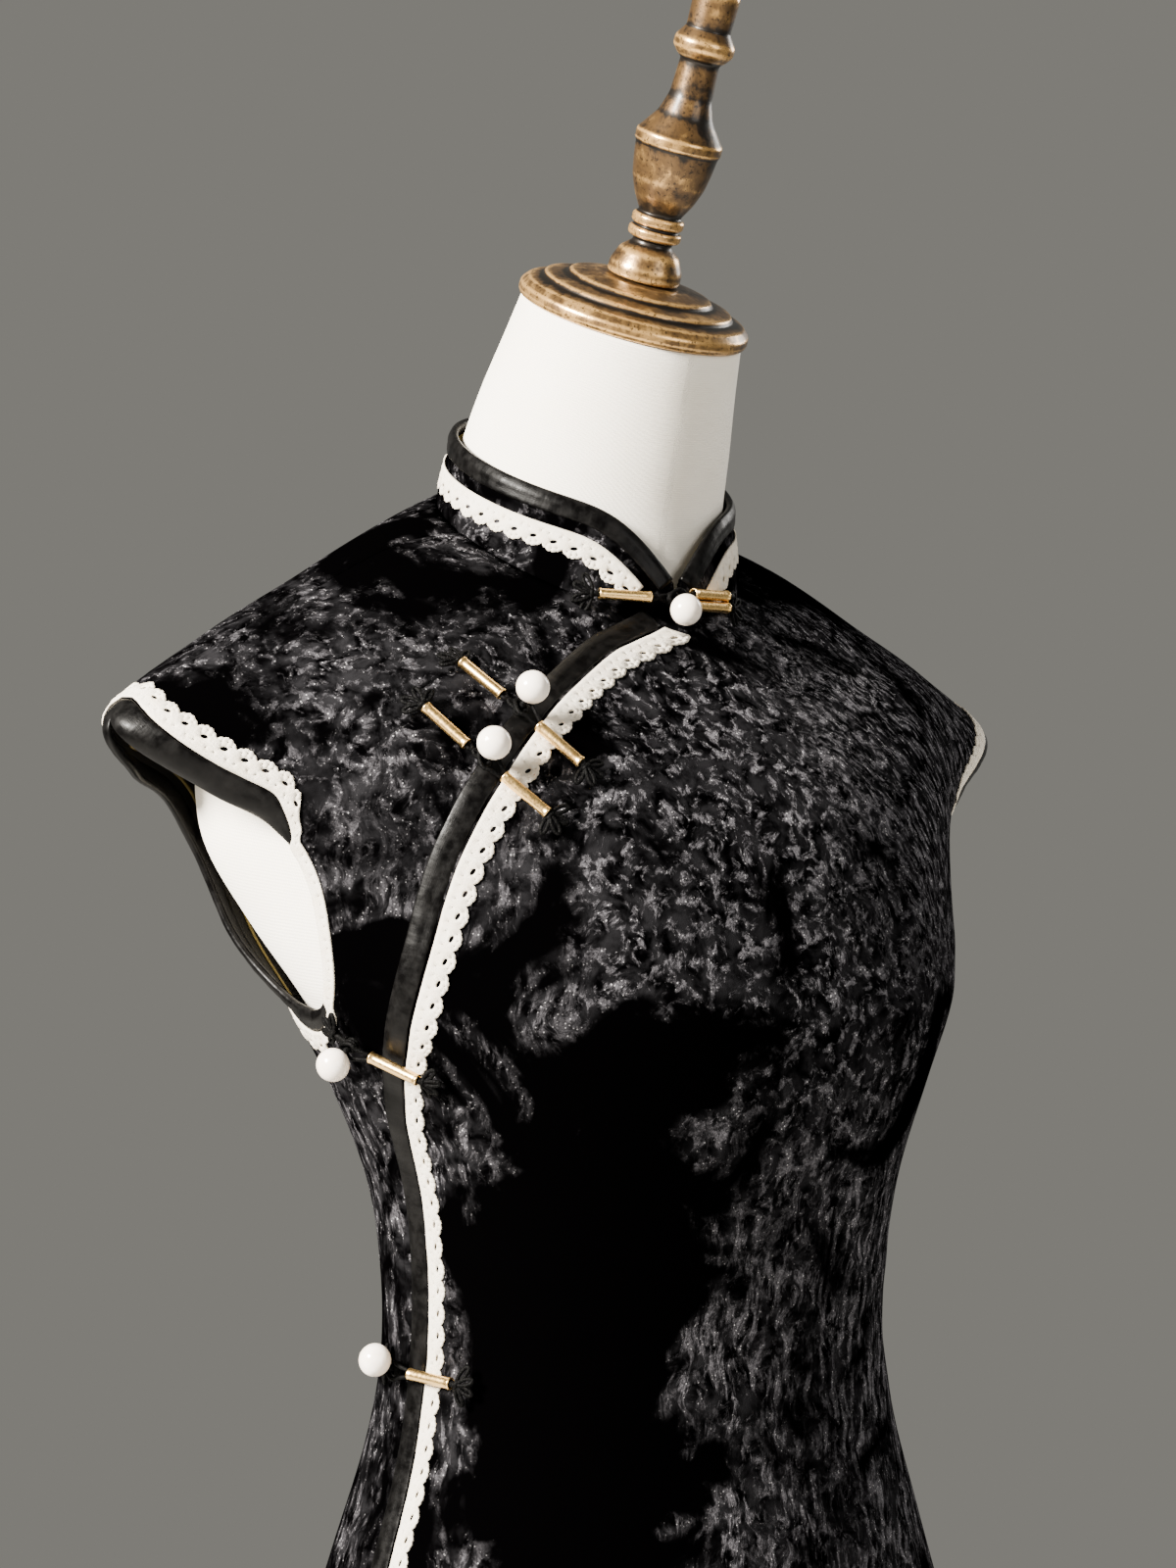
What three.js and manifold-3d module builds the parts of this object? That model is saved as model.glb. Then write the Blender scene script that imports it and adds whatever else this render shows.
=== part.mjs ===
// A cheongsam of black crushed velvet with satin binding, cotton lace and frog fastenings, on a limbless dress form.
// Millimetres, +Z up. The dress faces -Y and the wearer's right is -X. The origin is on the floor under the pole.
import * as THREE from "three";
import { mergeVertices } from "three/addons/utils/BufferGeometryUtils.js";
import Module from "manifold-3d";

const wasm = await Module();
wasm.setup();

// Driving dimensions
const VELVET = 1.5; // wall of the velvet panels
const SEAM = 0.3; // gap between pieces that are sewn together
const TRIM_LIFT = { edge: 0.7, armhole: 1.4, tip: 2.3 }; // trim above the cloth that it is sewn on
const BINDING = { width: 9, capWidth: 12.5, turnedIn: 1.1, thickness: 1.4 };
const LACE = { width: 10.5, thickness: 0.9, gap: 1.5 };
const COLLAR = { thickness: 2, binding: 6.5, laceFrom: 12.5, seam: 0.4, vee: 33, veePower: 1.65, atFront: 0.3 };
const UNDERLAP = { depth: 2.7, thickness: 1.3, blend: 14, hidden: 13 };
const OPENING = { first: 5, last: 10 }; // levels of the armhole's tip and of the underarm
// How far each edge of the armhole is from the side in degrees, and the share of its height where it is widest
const FRONT_OPENING = { turn: 14.5, widest: 0.6, power: 0.8 };
const BACK_OPENING = { turn: 26, widest: 0.68, power: 2 };
const TURN_IN = { wideBelow: 9, from: 7, to: 9.8 }; // levels between which the front armhole's binding is turned in
const SLIT = { level: 19, half: 1.2 }; // the side slits are open below this level, by these degrees to each side
const FROG = { tubeFrom: 9.3, tubeLength: 22, tubeRadius: 2.3, boreRadius: 1.8, cordRadius: 1.3, pearlRadius: 6.5 };
const KNOT = { radius: 2.2, height: 3.4, loopRadius: 4.8, loopCord: 1.1, tail: 3.5, strandsApart: 4.9 };
const NECK_LEAN = 25; // degrees that the neck of the form leans forwards
const POLE = { radius: 14, top: 759.7 };
const BASE = { radius: 170, height: 24 };

const radians = THREE.MathUtils.degToRad;

function table(columns, ...rows) {
  return rows.map((row) => Object.fromEntries(columns.map((name, i) => [name, row[i]])));
}

// The outside of the cloth: a ring at each level, from the neck seam down to the hem.
// sideZ, frontZ and backZ are the ring's heights, middleY is where it is widest, and roundness is 2 for an ellipse.
// cap and capBack are how far the cap sleeve stands out beyond the body, before and behind the side, and edge is
// where the front panel's bound edge crosses the ring, in degrees from the centre front.
const RINGS = table(
  ["sideZ", "frontZ", "backZ", "halfWidth", "middleY", "frontY", "backY", "roundness", "cap", "capBack", "edge"],
  [1378, 1341, 1406, 66, 32, -32, 94, 2.0, 0, 0, -15.6], // 0 neck seam
  [1376, 1333, 1397, 80.3, 32, -38, 99, 2.0, 0, 0, -22.9],
  [1368, 1323, 1382, 104.4, 31, -47, 103, 1.95, 0, 0, -28.5],
  [1349, 1304, 1362, 139.8, 30, -64, 107, 1.9, 1, 1, -34],
  [1327, 1284, 1339, 170, 29, -83, 110, 1.85, 13, 13, -38.2],
  [1298, 1260, 1311, 177, 28, -99, 112, 1.8, 49, 49, -45.2], // 5 tip of the cap sleeve
  [1275, 1245, 1293, 175, 27, -104, 113, 1.8, 31, 40, -50],
  [1263, 1231, 1275, 172, 25, -107, 115, 1.8, 16, 36, -53.3],
  [1243, 1216, 1250, 168, 21, -109, 115, 1.82, 6, 37, -57.1],
  [1214, 1199, 1217, 161.5, 15, -112.2, 110.8, 1.88, 2, 24, -62.3],
  [1184, 1180, 1185, 150, 8, -115.4, 103.6, 2.0, 0, 0, -70.3], // 10 underarm
  [1150, 1150, 1150, 132.5, 4, -111.9, 92.2, 2.05, 0, 0, -80.5],
  [1112, 1112, 1112, 117.4, 2, -102.2, 82.2, 2.1, 0, 0, -84.5],
  [1076, 1076, 1076, 112.9, 0, -93.9, 76.8, 2.1, 0, 0, -86],
  [1041, 1041, 1041, 113.1, 0, -90.1, 75.7, 2.1, 0, 0, -87], // 14 waist
  [1005, 1005, 1005, 119.2, 0, -92.3, 83.2, 2.1, 0, 0, -87],
  [960, 960, 960, 133, 0, -99, 97.3, 2.1, 0, 0, -87],
  [910, 910, 910, 148, 0, -106, 110.8, 2.12, 0, 0, -87],
  [855, 855, 855, 160, 0, -111, 119, 2.15, 0, 0, -87], // 18 hip
  [780, 780, 780, 164, 0, -112, 117, 2.2, 0, 0, -87], // 19 top of the side slits
  [680, 680, 680, 163, 0, -106, 107, 2.2, 0, 0, -87],
  [560, 560, 560, 160, 0, -100, 99, 2.2, 0, 0, -87],
  [400, 400, 400, 158, 0, -95, 94, 2.2, 0, 0, -87],
  [240, 240, 240, 157, 0, -92, 92, 2.2, 0, 0, -87], // 23 hem
);
const LAST = RINGS.length - 1;

// The bare form below its neck: rings as above, from the neck seam down to its flat base. arm is how far it bulges
// behind the side, where an arm would start.
const FORM_RINGS = table(
  ["sideZ", "frontZ", "backZ", "halfWidth", "middleY", "frontY", "backY", "roundness", "arm"],
  [1376.7, 1342, 1402.3, 63, 32, -24, 90, 2.0, 0],
  [1373.4, 1328, 1394.3, 74.5, 32, -30, 92.5, 2.0, 0],
  [1362.5, 1316, 1378.5, 99, 31, -40, 96.5, 1.95, 0],
  [1343.5, 1296, 1358.5, 134, 30, -57, 100.5, 1.9, 0],
  [1324, 1278, 1337, 158, 29, -76, 103.5, 1.85, 0],
  [1303, 1262, 1317, 169, 28, -89, 105, 1.8, 8],
  [1283, 1246, 1294, 170, 27, -96.5, 106, 1.8, 18],
  [1261, 1229, 1271, 166, 25, -99.5, 107, 1.8, 24],
  [1241, 1216, 1248, 161, 21, -101.5, 106, 1.82, 24],
  [1214, 1199, 1217, 153.5, 15, -104.5, 102.5, 1.88, 13],
  [1184, 1180, 1185, 142.5, 8, -107.9, 96, 2.0, 1],
  [1150, 1150, 1150, 126, 4, -105, 85.5, 2.05, 0],
  [1112, 1112, 1112, 111, 2, -95.5, 75.5, 2.1, 0],
  [1076, 1076, 1076, 106.5, 0, -87.4, 70.3, 2.1, 0],
  [1041, 1041, 1041, 106.6, 0, -83.6, 69.2, 2.1, 0],
  [1005, 1005, 1005, 112.5, 0, -85.8, 76.5, 2.1, 0],
  [960, 960, 960, 126.5, 0, -92.5, 90.7, 2.1, 0],
  [910, 910, 910, 141.5, 0, -99.5, 104.3, 2.12, 0],
  [855, 855, 855, 153.5, 0, -104.5, 112.5, 2.15, 0],
  [800, 800, 800, 155, 0, -104, 110, 2.2, 0],
  [760, 760, 760, 150, 0, -99, 104, 2.2, 0],
);

// The neck of the form, up from the seam: leaning discs.
const NECK_DISCS = table(
  ["height", "centreY", "radius"],
  [1468, 0, 47.5],
  [1450, 8.5, 50.5],
  [1428, 18.5, 54.5],
  [1406, 27.5, 57.5],
  [1388, 31.5, 59.5],
);

const BUST = { across: 78, height: 1222, forward: 7, spreadAcross: 46, spreadUp: 48 };
const ARM = { turn: 112, spread: 26 }; // degrees
const CAP_SPREAD = { front: 18, back: 44 }; // degrees round from the side over which the cap sleeve stands out

// A smooth curve through one column of a table.
function column(rows, name, level) {
  const i = Math.min(Math.max(Math.floor(level), 0), rows.length - 2);
  const at = (k) => rows[Math.min(Math.max(k, 0), rows.length - 1)][name];
  const [a, b, c, d] = [at(i - 1), at(i), at(i + 1), at(i + 2)];
  const f = level - i;
  return b + 0.5 * f * (c - a + f * (2 * a - 5 * b + 4 * c - d + f * (3 * (b - c) + d - a)));
}

// The point of a ring at turn degrees from the centre front, positive to the wearer's left.
function ringPoint(rows, level, turn) {
  const value = (name) => column(rows, name, level);
  const [s, c] = [Math.sin(radians(turn)), Math.cos(radians(turn))];
  const n = value("roundness");
  const push = (Math.abs(s) ** n + Math.abs(c) ** n) ** (-1 / n);
  const [side, front, back] = [value("sideZ"), value("frontZ"), value("backZ")];
  const mean = ((front + back) / 2 + side) / 2;
  const saddle = ((front + back) / 2 - side) / 2;
  const depth = c > 0 ? value("middleY") - value("frontY") : value("backY") - value("middleY");
  const x = value("halfWidth") * push * s;
  const z = mean + ((front - back) / 2) * c + saddle * Math.cos(radians(2 * turn));
  let y = value("middleY") - depth * push * c;
  if (c > 0) {
    const across = (Math.abs(x) - BUST.across) / BUST.spreadAcross;
    const up = (z - BUST.height) / BUST.spreadUp;
    y -= BUST.forward * Math.exp(-across * across - up * up);
  }
  return new THREE.Vector3(x, y, z);
}

// The shape of the cloth, with the cap sleeves.
function clothSurface(level, turn) {
  const point = ringPoint(RINGS, level, turn);
  const fromSide = Math.abs(turn > 180 ? turn - 360 : turn) - 90;
  const [name, spread] = fromSide > 0 ? ["capBack", CAP_SPREAD.back] : ["cap", CAP_SPREAD.front];
  point.x += Math.sign(point.x) * Math.max(0, column(RINGS, name, level)) * Math.exp(-((fromSide / spread) ** 2));
  return point;
}

// The collar: 0 at the neck seam and 1 at its full height.
const COLLAR_TOP = { height: 1408.5, tilt: 26.7, centreY: 27.7, radius: 61.5, depth: 56 };
function collarSurface(rise, turn) {
  const seam = clothSurface(0, turn);
  const [s, c] = [Math.sin(radians(turn)), Math.cos(radians(turn))];
  const top = new THREE.Vector3(
    COLLAR_TOP.radius * s,
    COLLAR_TOP.centreY - COLLAR_TOP.depth * c,
    COLLAR_TOP.height - COLLAR_TOP.tilt * c,
  );
  return seam.lerp(top, rise);
}

// The outward normal and the two slopes of a surface.
function frameOn(surface, p, q) {
  const [dp, dq] = [1e-3, 1e-2];
  const alongP = surface(p + dp, q).sub(surface(p - dp, q)).divideScalar(2 * dp);
  const alongQ = surface(p, q + dq).sub(surface(p, q - dq)).divideScalar(2 * dq);
  const normal = new THREE.Vector3().crossVectors(alongP, alongQ).normalize();
  const point = surface(p, q);
  if (normal.dot(new THREE.Vector3(point.x, point.y - 20, 0)) < 0) normal.negate();
  return { point, alongP, alongQ, normal };
}

function lifted(surface, p, q, lift) {
  const { point, normal } = frameOn(surface, p, q);
  return point.addScaledVector(normal, lift);
}

// Walks on a surface from one place, for a distance along a heading in space, and returns the place reached.
function walk(surface, [p, q], heading, distance) {
  const steps = 4;
  const way = heading.clone();
  for (let i = 0; i < steps; i++) {
    const { alongP, alongQ, normal } = frameOn(surface, p, q);
    way.addScaledVector(normal, -way.dot(normal)).normalize();
    const [e, f, g] = [alongP.dot(alongP), alongP.dot(alongQ), alongQ.dot(alongQ)];
    const [a, b] = [alongP.dot(way), alongQ.dot(way)];
    const step = distance / steps / (e * g - f * f);
    p += (a * g - b * f) * step;
    q += (b * e - a * f) * step;
  }
  return [p, q];
}

// Closed solids from rings and grids

function solidGeometry(points, triangles) {
  const position = new Float32Array(points.flatMap((v) => [v.x, v.y, v.z]));
  let volume = 0;
  for (const [a, b, c] of triangles) {
    volume += points[a].dot(new THREE.Vector3().crossVectors(points[b], points[c]));
  }
  const turned = volume < 0 ? triangles.map(([a, b, c]) => [a, c, b]) : triangles;
  return new THREE.BufferGeometry()
    .setAttribute("position", new THREE.BufferAttribute(position, 3))
    .setIndex(turned.flat());
}

// A wall between two grids of points, its outer and inner faces. A ring wall's last column joins its first.
function wall(outer, inner, isRing = false) {
  const [rows, columns] = [outer.length, outer[0].length];
  const triangles = [];
  const id = (face, r, c) => (face * rows + r) * columns + (c % columns);
  const quad = (a, b, c, d) => triangles.push([a, b, c], [a, c, d]);
  const lastColumn = isRing ? columns : columns - 1;
  for (let r = 0; r < rows - 1; r++) {
    for (let c = 0; c < lastColumn; c++) {
      quad(id(0, r, c), id(0, r, c + 1), id(0, r + 1, c + 1), id(0, r + 1, c));
      quad(id(1, r, c), id(1, r + 1, c), id(1, r + 1, c + 1), id(1, r, c + 1));
    }
  }
  for (let c = 0; c < lastColumn; c++) {
    quad(id(1, 0, c), id(1, 0, c + 1), id(0, 0, c + 1), id(0, 0, c));
    quad(id(0, rows - 1, c), id(0, rows - 1, c + 1), id(1, rows - 1, c + 1), id(1, rows - 1, c));
  }
  for (let r = 0; r < rows - 1 && !isRing; r++) {
    quad(id(0, r, 0), id(0, r + 1, 0), id(1, r + 1, 0), id(1, r, 0));
    quad(id(1, r, lastColumn), id(1, r + 1, lastColumn), id(0, r + 1, lastColumn), id(0, r, lastColumn));
  }
  return solidGeometry([...outer.flat(), ...inner.flat()], triangles);
}

// A solid through a stack of closed rings, with a flat end at each side.
function loft(rings) {
  const sides = rings[0].length;
  const points = rings.flat();
  const triangles = [];
  for (let r = 0; r < rings.length - 1; r++) {
    for (let c = 0; c < sides; c++) {
      const [a, b] = [r * sides + c, r * sides + ((c + 1) % sides)];
      triangles.push([a, b, b + sides], [a, b + sides, a + sides]);
    }
  }
  for (const [r, isFirst] of [[0, true], [rings.length - 1, false]]) {
    const centre = new THREE.Vector3();
    for (const point of rings[r]) centre.addScaledVector(point, 1 / sides);
    points.push(centre);
    for (let c = 0; c < sides; c++) {
      const [a, b] = [r * sides + c, r * sides + ((c + 1) % sides)];
      triangles.push(isFirst ? [points.length - 1, b, a] : [points.length - 1, a, b]);
    }
  }
  return solidGeometry(points, triangles);
}

// A panel of the cloth. levels are its rows, from and to give the turn of its two edges at a level,
// and shares says where its columns lie between them.
function panel({ levels, from, to, shares, surface = clothSurface, thickness = VELVET }) {
  const grid = (extra) =>
    levels.map((level) => {
      const [start, end] = [from(level), to(level)];
      return shares.map((share) => lifted(surface, level, start + (end - start) * share, -extra));
    });
  return wall(grid(0), grid(thickness));
}

// A strip that lies on a surface. Each station has a place, a heading across the strip and its near and far edges.
function strip(surface, stations, thickness, isRing = false, liftAt = () => TRIM_LIFT.edge) {
  const grid = (height) => {
    const rows = [[], [], []];
    for (const { place, heading, near, far } of stations) {
      [near, (near + far) / 2, far].forEach((distance, i) => {
        const [p, q] = walk(surface, place, heading, distance);
        rows[i].push(lifted(surface, p, q, liftAt(p) + height));
      });
    }
    return rows;
  };
  return wall(grid(thickness), grid(0), isRing);
}

// The heading across a line of places on a surface, to the side that sign says.
function headings(surface, places, sign, isRing = false) {
  const count = places.length;
  const at = (i) => places[isRing ? (i + count) % count : Math.min(Math.max(i, 0), count - 1)];
  return places.map((place, i) => {
    const along = surface(...at(i + 1)).sub(surface(...at(i - 1)));
    const { normal } = frameOn(surface, ...place);
    return new THREE.Vector3().crossVectors(normal, along).multiplyScalar(sign).normalize();
  });
}

const spaced = (from, to, count) => Array.from({ length: count + 1 }, (_, i) => from + ((to - from) * i) / count);
const smooth = (x) => {
  const t = Math.min(Math.max(x, 0), 1);
  return t * t * (3 - 2 * t);
};

// Edges of the panels

const frontEdge = (level) => column(RINGS, "edge", level);

// Half the seam's gap, as an angle at the side of a ring.
function seamTurn(level) {
  const depth = (column(RINGS, "backY", level) - column(RINGS, "frontY", level)) / 2;
  return THREE.MathUtils.radToDeg(SEAM / 2 / depth);
}

// How far an edge of the armhole is from the side at a level: nothing at the tip and the underarm.
function opening(level, { turn, widest, power }) {
  const along = (level - OPENING.first) / (OPENING.last - OPENING.first);
  if (along <= 0 || along >= 1) return 0;
  if (along < widest) return turn * Math.sin(((Math.PI / 2) * along) / widest) ** power;
  return turn * Math.sqrt(1 - ((along - widest) / (1 - widest)) ** 2);
}
const slitTurn = (level) => seamTurn(level) + SLIT.half * smooth(3 * (level - SLIT.level));
const frontSide = (level) => 90 - slitTurn(level) - opening(level, FRONT_OPENING);
const backSide = (level) => 90 + slitTurn(level) + opening(level, BACK_OPENING);

// How far the right front lies under the cloth's surface, where the front panel covers it and next to that.
function underlapDepth(level, turn) {
  if (turn > 180 || turn < -90) return 0;
  const start = Math.max(-frontSide(level), frontEdge(level) - UNDERLAP.blend);
  return UNDERLAP.depth * smooth((turn - start) / (frontEdge(level) - 0.5 - start));
}
const underlapSurface = (level, turn) => lifted(clothSurface, level, turn, -underlapDepth(level, turn));

const YOKE = [0, 1, 2, 3, 4, 4.5, 5, 5.25, 5.5, 6, 6.5, 7, 7.5, 8, 8.5, 9, 9.5, 9.8, 9.95, 10];
const BODICE = [11, 12, 13, 14, 15, 16, 17, 18, 19];
const SKIRT = [20, 21, 22, 23];

// Columns between two edges, closer together near the first edge, the second, or both.
const columns = {
  front: [0, 0.05, 0.11, 0.18, 0.26, 0.34, 0.42, 0.5, 0.58, 0.65, 0.71, 0.765, 0.815, 0.86, 0.895, 0.928, 0.962, 1],
  back: [0, 0.024, 0.05, 0.08, 0.125, 0.19, 0.28, 0.39, 0.5, 0.61, 0.72, 0.81, 0.875, 0.92, 0.95, 0.976, 1],
  underlap: [0, 0.07, 0.15, 0.25, 0.38, 0.52, 0.66, 0.8, 1],
};

function frontPanel() {
  return panel({ levels: [...YOKE, ...BODICE, ...SKIRT], from: frontEdge, to: frontSide, shares: columns.front });
}

function backPanel() {
  return panel({
    levels: [...YOKE, ...BODICE, ...SKIRT],
    from: backSide,
    to: (level) => 360 - backSide(level),
    shares: columns.back,
  });
}

// The small right front that lies under the bound edge, down to the top of the slit.
function underlapPanel() {
  return panel({
    levels: [...YOKE, ...BODICE],
    from: (level) => -frontSide(level),
    to: (level) => frontEdge(level) + UNDERLAP.hidden,
    shares: columns.underlap,
    surface: underlapSurface,
    thickness: UNDERLAP.thickness,
  });
}

// Collar

function collarHeight(turn) {
  const fromFront = Math.min(turn, 360 - turn) / COLLAR.vee;
  if (fromFront >= 1) return 1;
  return COLLAR.atFront + (1 - COLLAR.atFront) * (1 - (1 - fromFront) ** COLLAR.veePower);
}

function collarTurns(first, count) {
  return spaced(0, 1, count).map((x) => first + (360 - 2 * first) * (x - Math.sin(4 * Math.PI * x) / 26));
}

function collarBand() {
  const grid = (depth) =>
    [COLLAR.seam / 30, 0.5, 1].map((share, i) =>
      collarTurns(1.5, 36).map((turn) => {
        const rise = i === 0 ? share : share * collarHeight(turn) + share / 90;
        return lifted(collarSurface, rise, turn, -depth);
      }),
    );
  return wall(grid(0), grid(COLLAR.thickness));
}

// A strip that follows the collar's top edge between two distances below it, and stops at the neck seam.
function collarStrip(near, far, first, count, thickness) {
  const lowest = 0.03;
  const places = collarTurns(first, count).map((turn) => [collarHeight(turn), turn]);
  const across = headings(collarSurface, places, 1);
  const stations = places.map((place, i) => {
    const heading = across[i].z > 0 ? across[i].negate() : across[i];
    let reach = far;
    while (walk(collarSurface, place, heading, reach)[0] < lowest && reach > near + 0.6) reach -= 0.3;
    return { place, heading, near, far: reach };
  });
  return strip(collarSurface, stations, thickness);
}

// Binding and lace of the front panel's edge

function edgeStations(levels, near, far) {
  return levels.map((level) => {
    const place = [level, frontEdge(level)];
    const line = (l) => clothSurface(l, frontEdge(l));
    const along = line(level + 0.05).sub(line(level - 0.05));
    const heading = frameOn(clothSurface, ...place).normal.cross(along).normalize();
    return { place, heading, near, far };
  });
}
const EDGE = [0.12, 0.5, 1, 1.5, 2, 2.5, 3, 3.5, 4, 4.5, 5, 5.6, 6.2, 7, 7.5, 8, 8.5, 9, 9.5, 10, 10.5, ...BODICE, ...SKIRT];
const LACE_FROM = BINDING.width + LACE.gap;

// The armhole: a closed loop of places, up the front edge to the tip and down the back edge.
function armholeLoop(side) {
  const levels = [9.98, 9.9, 9.7, 9.5, 9, 8.5, 8, 7.6, 7.25, 7, 6.5, 6, 5.7, 5.45, 5.2];
  const front = levels.map((level) => [level, frontSide(level)]);
  const back = levels.map((level) => [level, backSide(level)]);
  const loop = [...front, [5, 90], ...back.reverse()];
  return side > 0 ? loop : loop.map(([level, turn]) => [level, -turn]);
}

// How wide the armhole's binding is: widest over the front of the cap sleeve, and on the lower front almost all
// turned to the inside, where the lace lies at the edge.
function armholeBindingWidth([level, turn]) {
  if (Math.abs(turn) >= 90) return BINDING.width;
  const widest = BINDING.width + (BINDING.capWidth - BINDING.width) * smooth((TURN_IN.wideBelow - level) / 0.5);
  const turned = smooth((level - TURN_IN.from) / 0.25) * smooth((TURN_IN.to - level) / 0.4);
  return widest + (BINDING.turnedIn - widest) * turned;
}

// One strip round an armhole. On the right it stops short of the front panel's bound edge.
function armholeStrip(side, kind) {
  const surface = side < 0 ? underlapSurface : clothSurface;
  const places = armholeLoop(side);
  const across = headings(surface, places, 1, true);
  const middle = surface(7.5, side * 92);
  for (const [i, place] of places.entries()) {
    if (across[i].dot(surface(...place).sub(middle)) < 0) across[i].negate();
  }
  const tip = places.findIndex(([level]) => level === OPENING.first);
  for (const [at, i, j] of [[tip + 1, tip, tip + 1], [tip, tip - 1, tip]]) {
    across.splice(at, 0, across[i].clone().add(across[j]).normalize());
    places.splice(at, 0, places[tip]);
  }
  const stations = places.map((place, i) => {
    const heading = across[i];
    const bindingWidth = armholeBindingWidth(place);
    const near = kind === "binding" ? 0.2 : bindingWidth + 0.6;
    let far = kind === "binding" ? bindingWidth : near + LACE.width;
    const covered = ([level, turn]) => turn > frontEdge(level) - 1 && turn < 0;
    while (far > near + 0.6 && covered(walk(surface, place, heading, far))) far -= 0.3;
    return { place, heading, near, far };
  });
  const lift = (level) => TRIM_LIFT.armhole + (TRIM_LIFT.tip - TRIM_LIFT.armhole) * smooth(7 - level);
  return strip(surface, stations, kind === "binding" ? BINDING.thickness : LACE.thickness, true, lift);
}

// Frog fastenings

// A round cord through a list of points, with flat ends.
function cordGeometry(points, radius, sides = 6) {
  const rings = points.map((point, i) => {
    const before = points[Math.max(i - 1, 0)];
    const after = points[Math.min(i + 1, points.length - 1)];
    const along = after.clone().sub(before).normalize();
    const up = new THREE.Vector3(0, 0, 1);
    const side = new THREE.Vector3().crossVectors(along, up).normalize();
    up.crossVectors(side, along);
    return Array.from({ length: sides }, (_, k) => {
      const angle = (2 * Math.PI * k) / sides;
      return point
        .clone()
        .addScaledVector(side, radius * Math.cos(angle))
        .addScaledVector(up, radius * Math.sin(angle));
    });
  });
  return loft(rings);
}

function toManifold(geometry) {
  const bare = geometry.clone();
  bare.deleteAttribute("normal");
  bare.deleteAttribute("uv");
  const merged = mergeVertices(bare, 1e-3);
  return new wasm.Manifold(
    new wasm.Mesh({
      numProp: 3,
      vertProperties: merged.attributes.position.array,
      triVerts: new Uint32Array(merged.index.array),
    }),
  );
}

function joined(...geometries) {
  const whole = geometries.map(toManifold).reduce((a, b) => a.add(b));
  const mesh = whole.getMesh();
  return new THREE.BufferGeometry()
    .setAttribute("position", new THREE.BufferAttribute(new Float32Array(mesh.vertProperties), 3))
    .setIndex(new THREE.BufferAttribute(mesh.triVerts, 1));
}

// Three loops of cord at a frog's outer end, as a clover outline with small rounds.
function cloverGeometry(matrix) {
  const [loops, reach, round, thickness, pointsPerLoop] = [3, 4.2, 2.6, 2, 4];
  const outline = [new THREE.Vector2(-2, -1.4)];
  for (let k = 0; k < loops; k++) {
    const middle = radians(-70 + 70 * k);
    const centre = new THREE.Vector2(Math.cos(middle), Math.sin(middle)).multiplyScalar(reach);
    for (let j = 0; j < pointsPerLoop; j++) {
      const angle = middle + radians(-100 + (200 * j) / (pointsPerLoop - 1));
      outline.push(new THREE.Vector2(Math.cos(angle), Math.sin(angle)).multiplyScalar(round).add(centre));
    }
  }
  outline.push(new THREE.Vector2(-2, 1.4));
  const geometry = new THREE.ExtrudeGeometry(new THREE.Shape(outline), { depth: thickness, bevelEnabled: false });
  return geometry.translate(0, 0, -thickness / 2).applyMatrix4(matrix);
}

// Heights above the cloth
const CORD_HEIGHT = 5;
const LOOP_HEIGHT = CORD_HEIGHT + 2.7;
const PEARL_HEIGHT = LOOP_HEIGHT + 7.6;

// A hollow bead along Y.
function tubeGeometry() {
  const { tubeLength, tubeRadius, boreRadius } = FROG;
  const half = tubeLength / 2;
  const profile = [[boreRadius, -half], [tubeRadius, -half], [tubeRadius, half], [boreRadius, half], [boreRadius, -half]];
  return new THREE.LatheGeometry(profile.map(([r, y]) => new THREE.Vector2(r, y)), 8);
}

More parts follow.
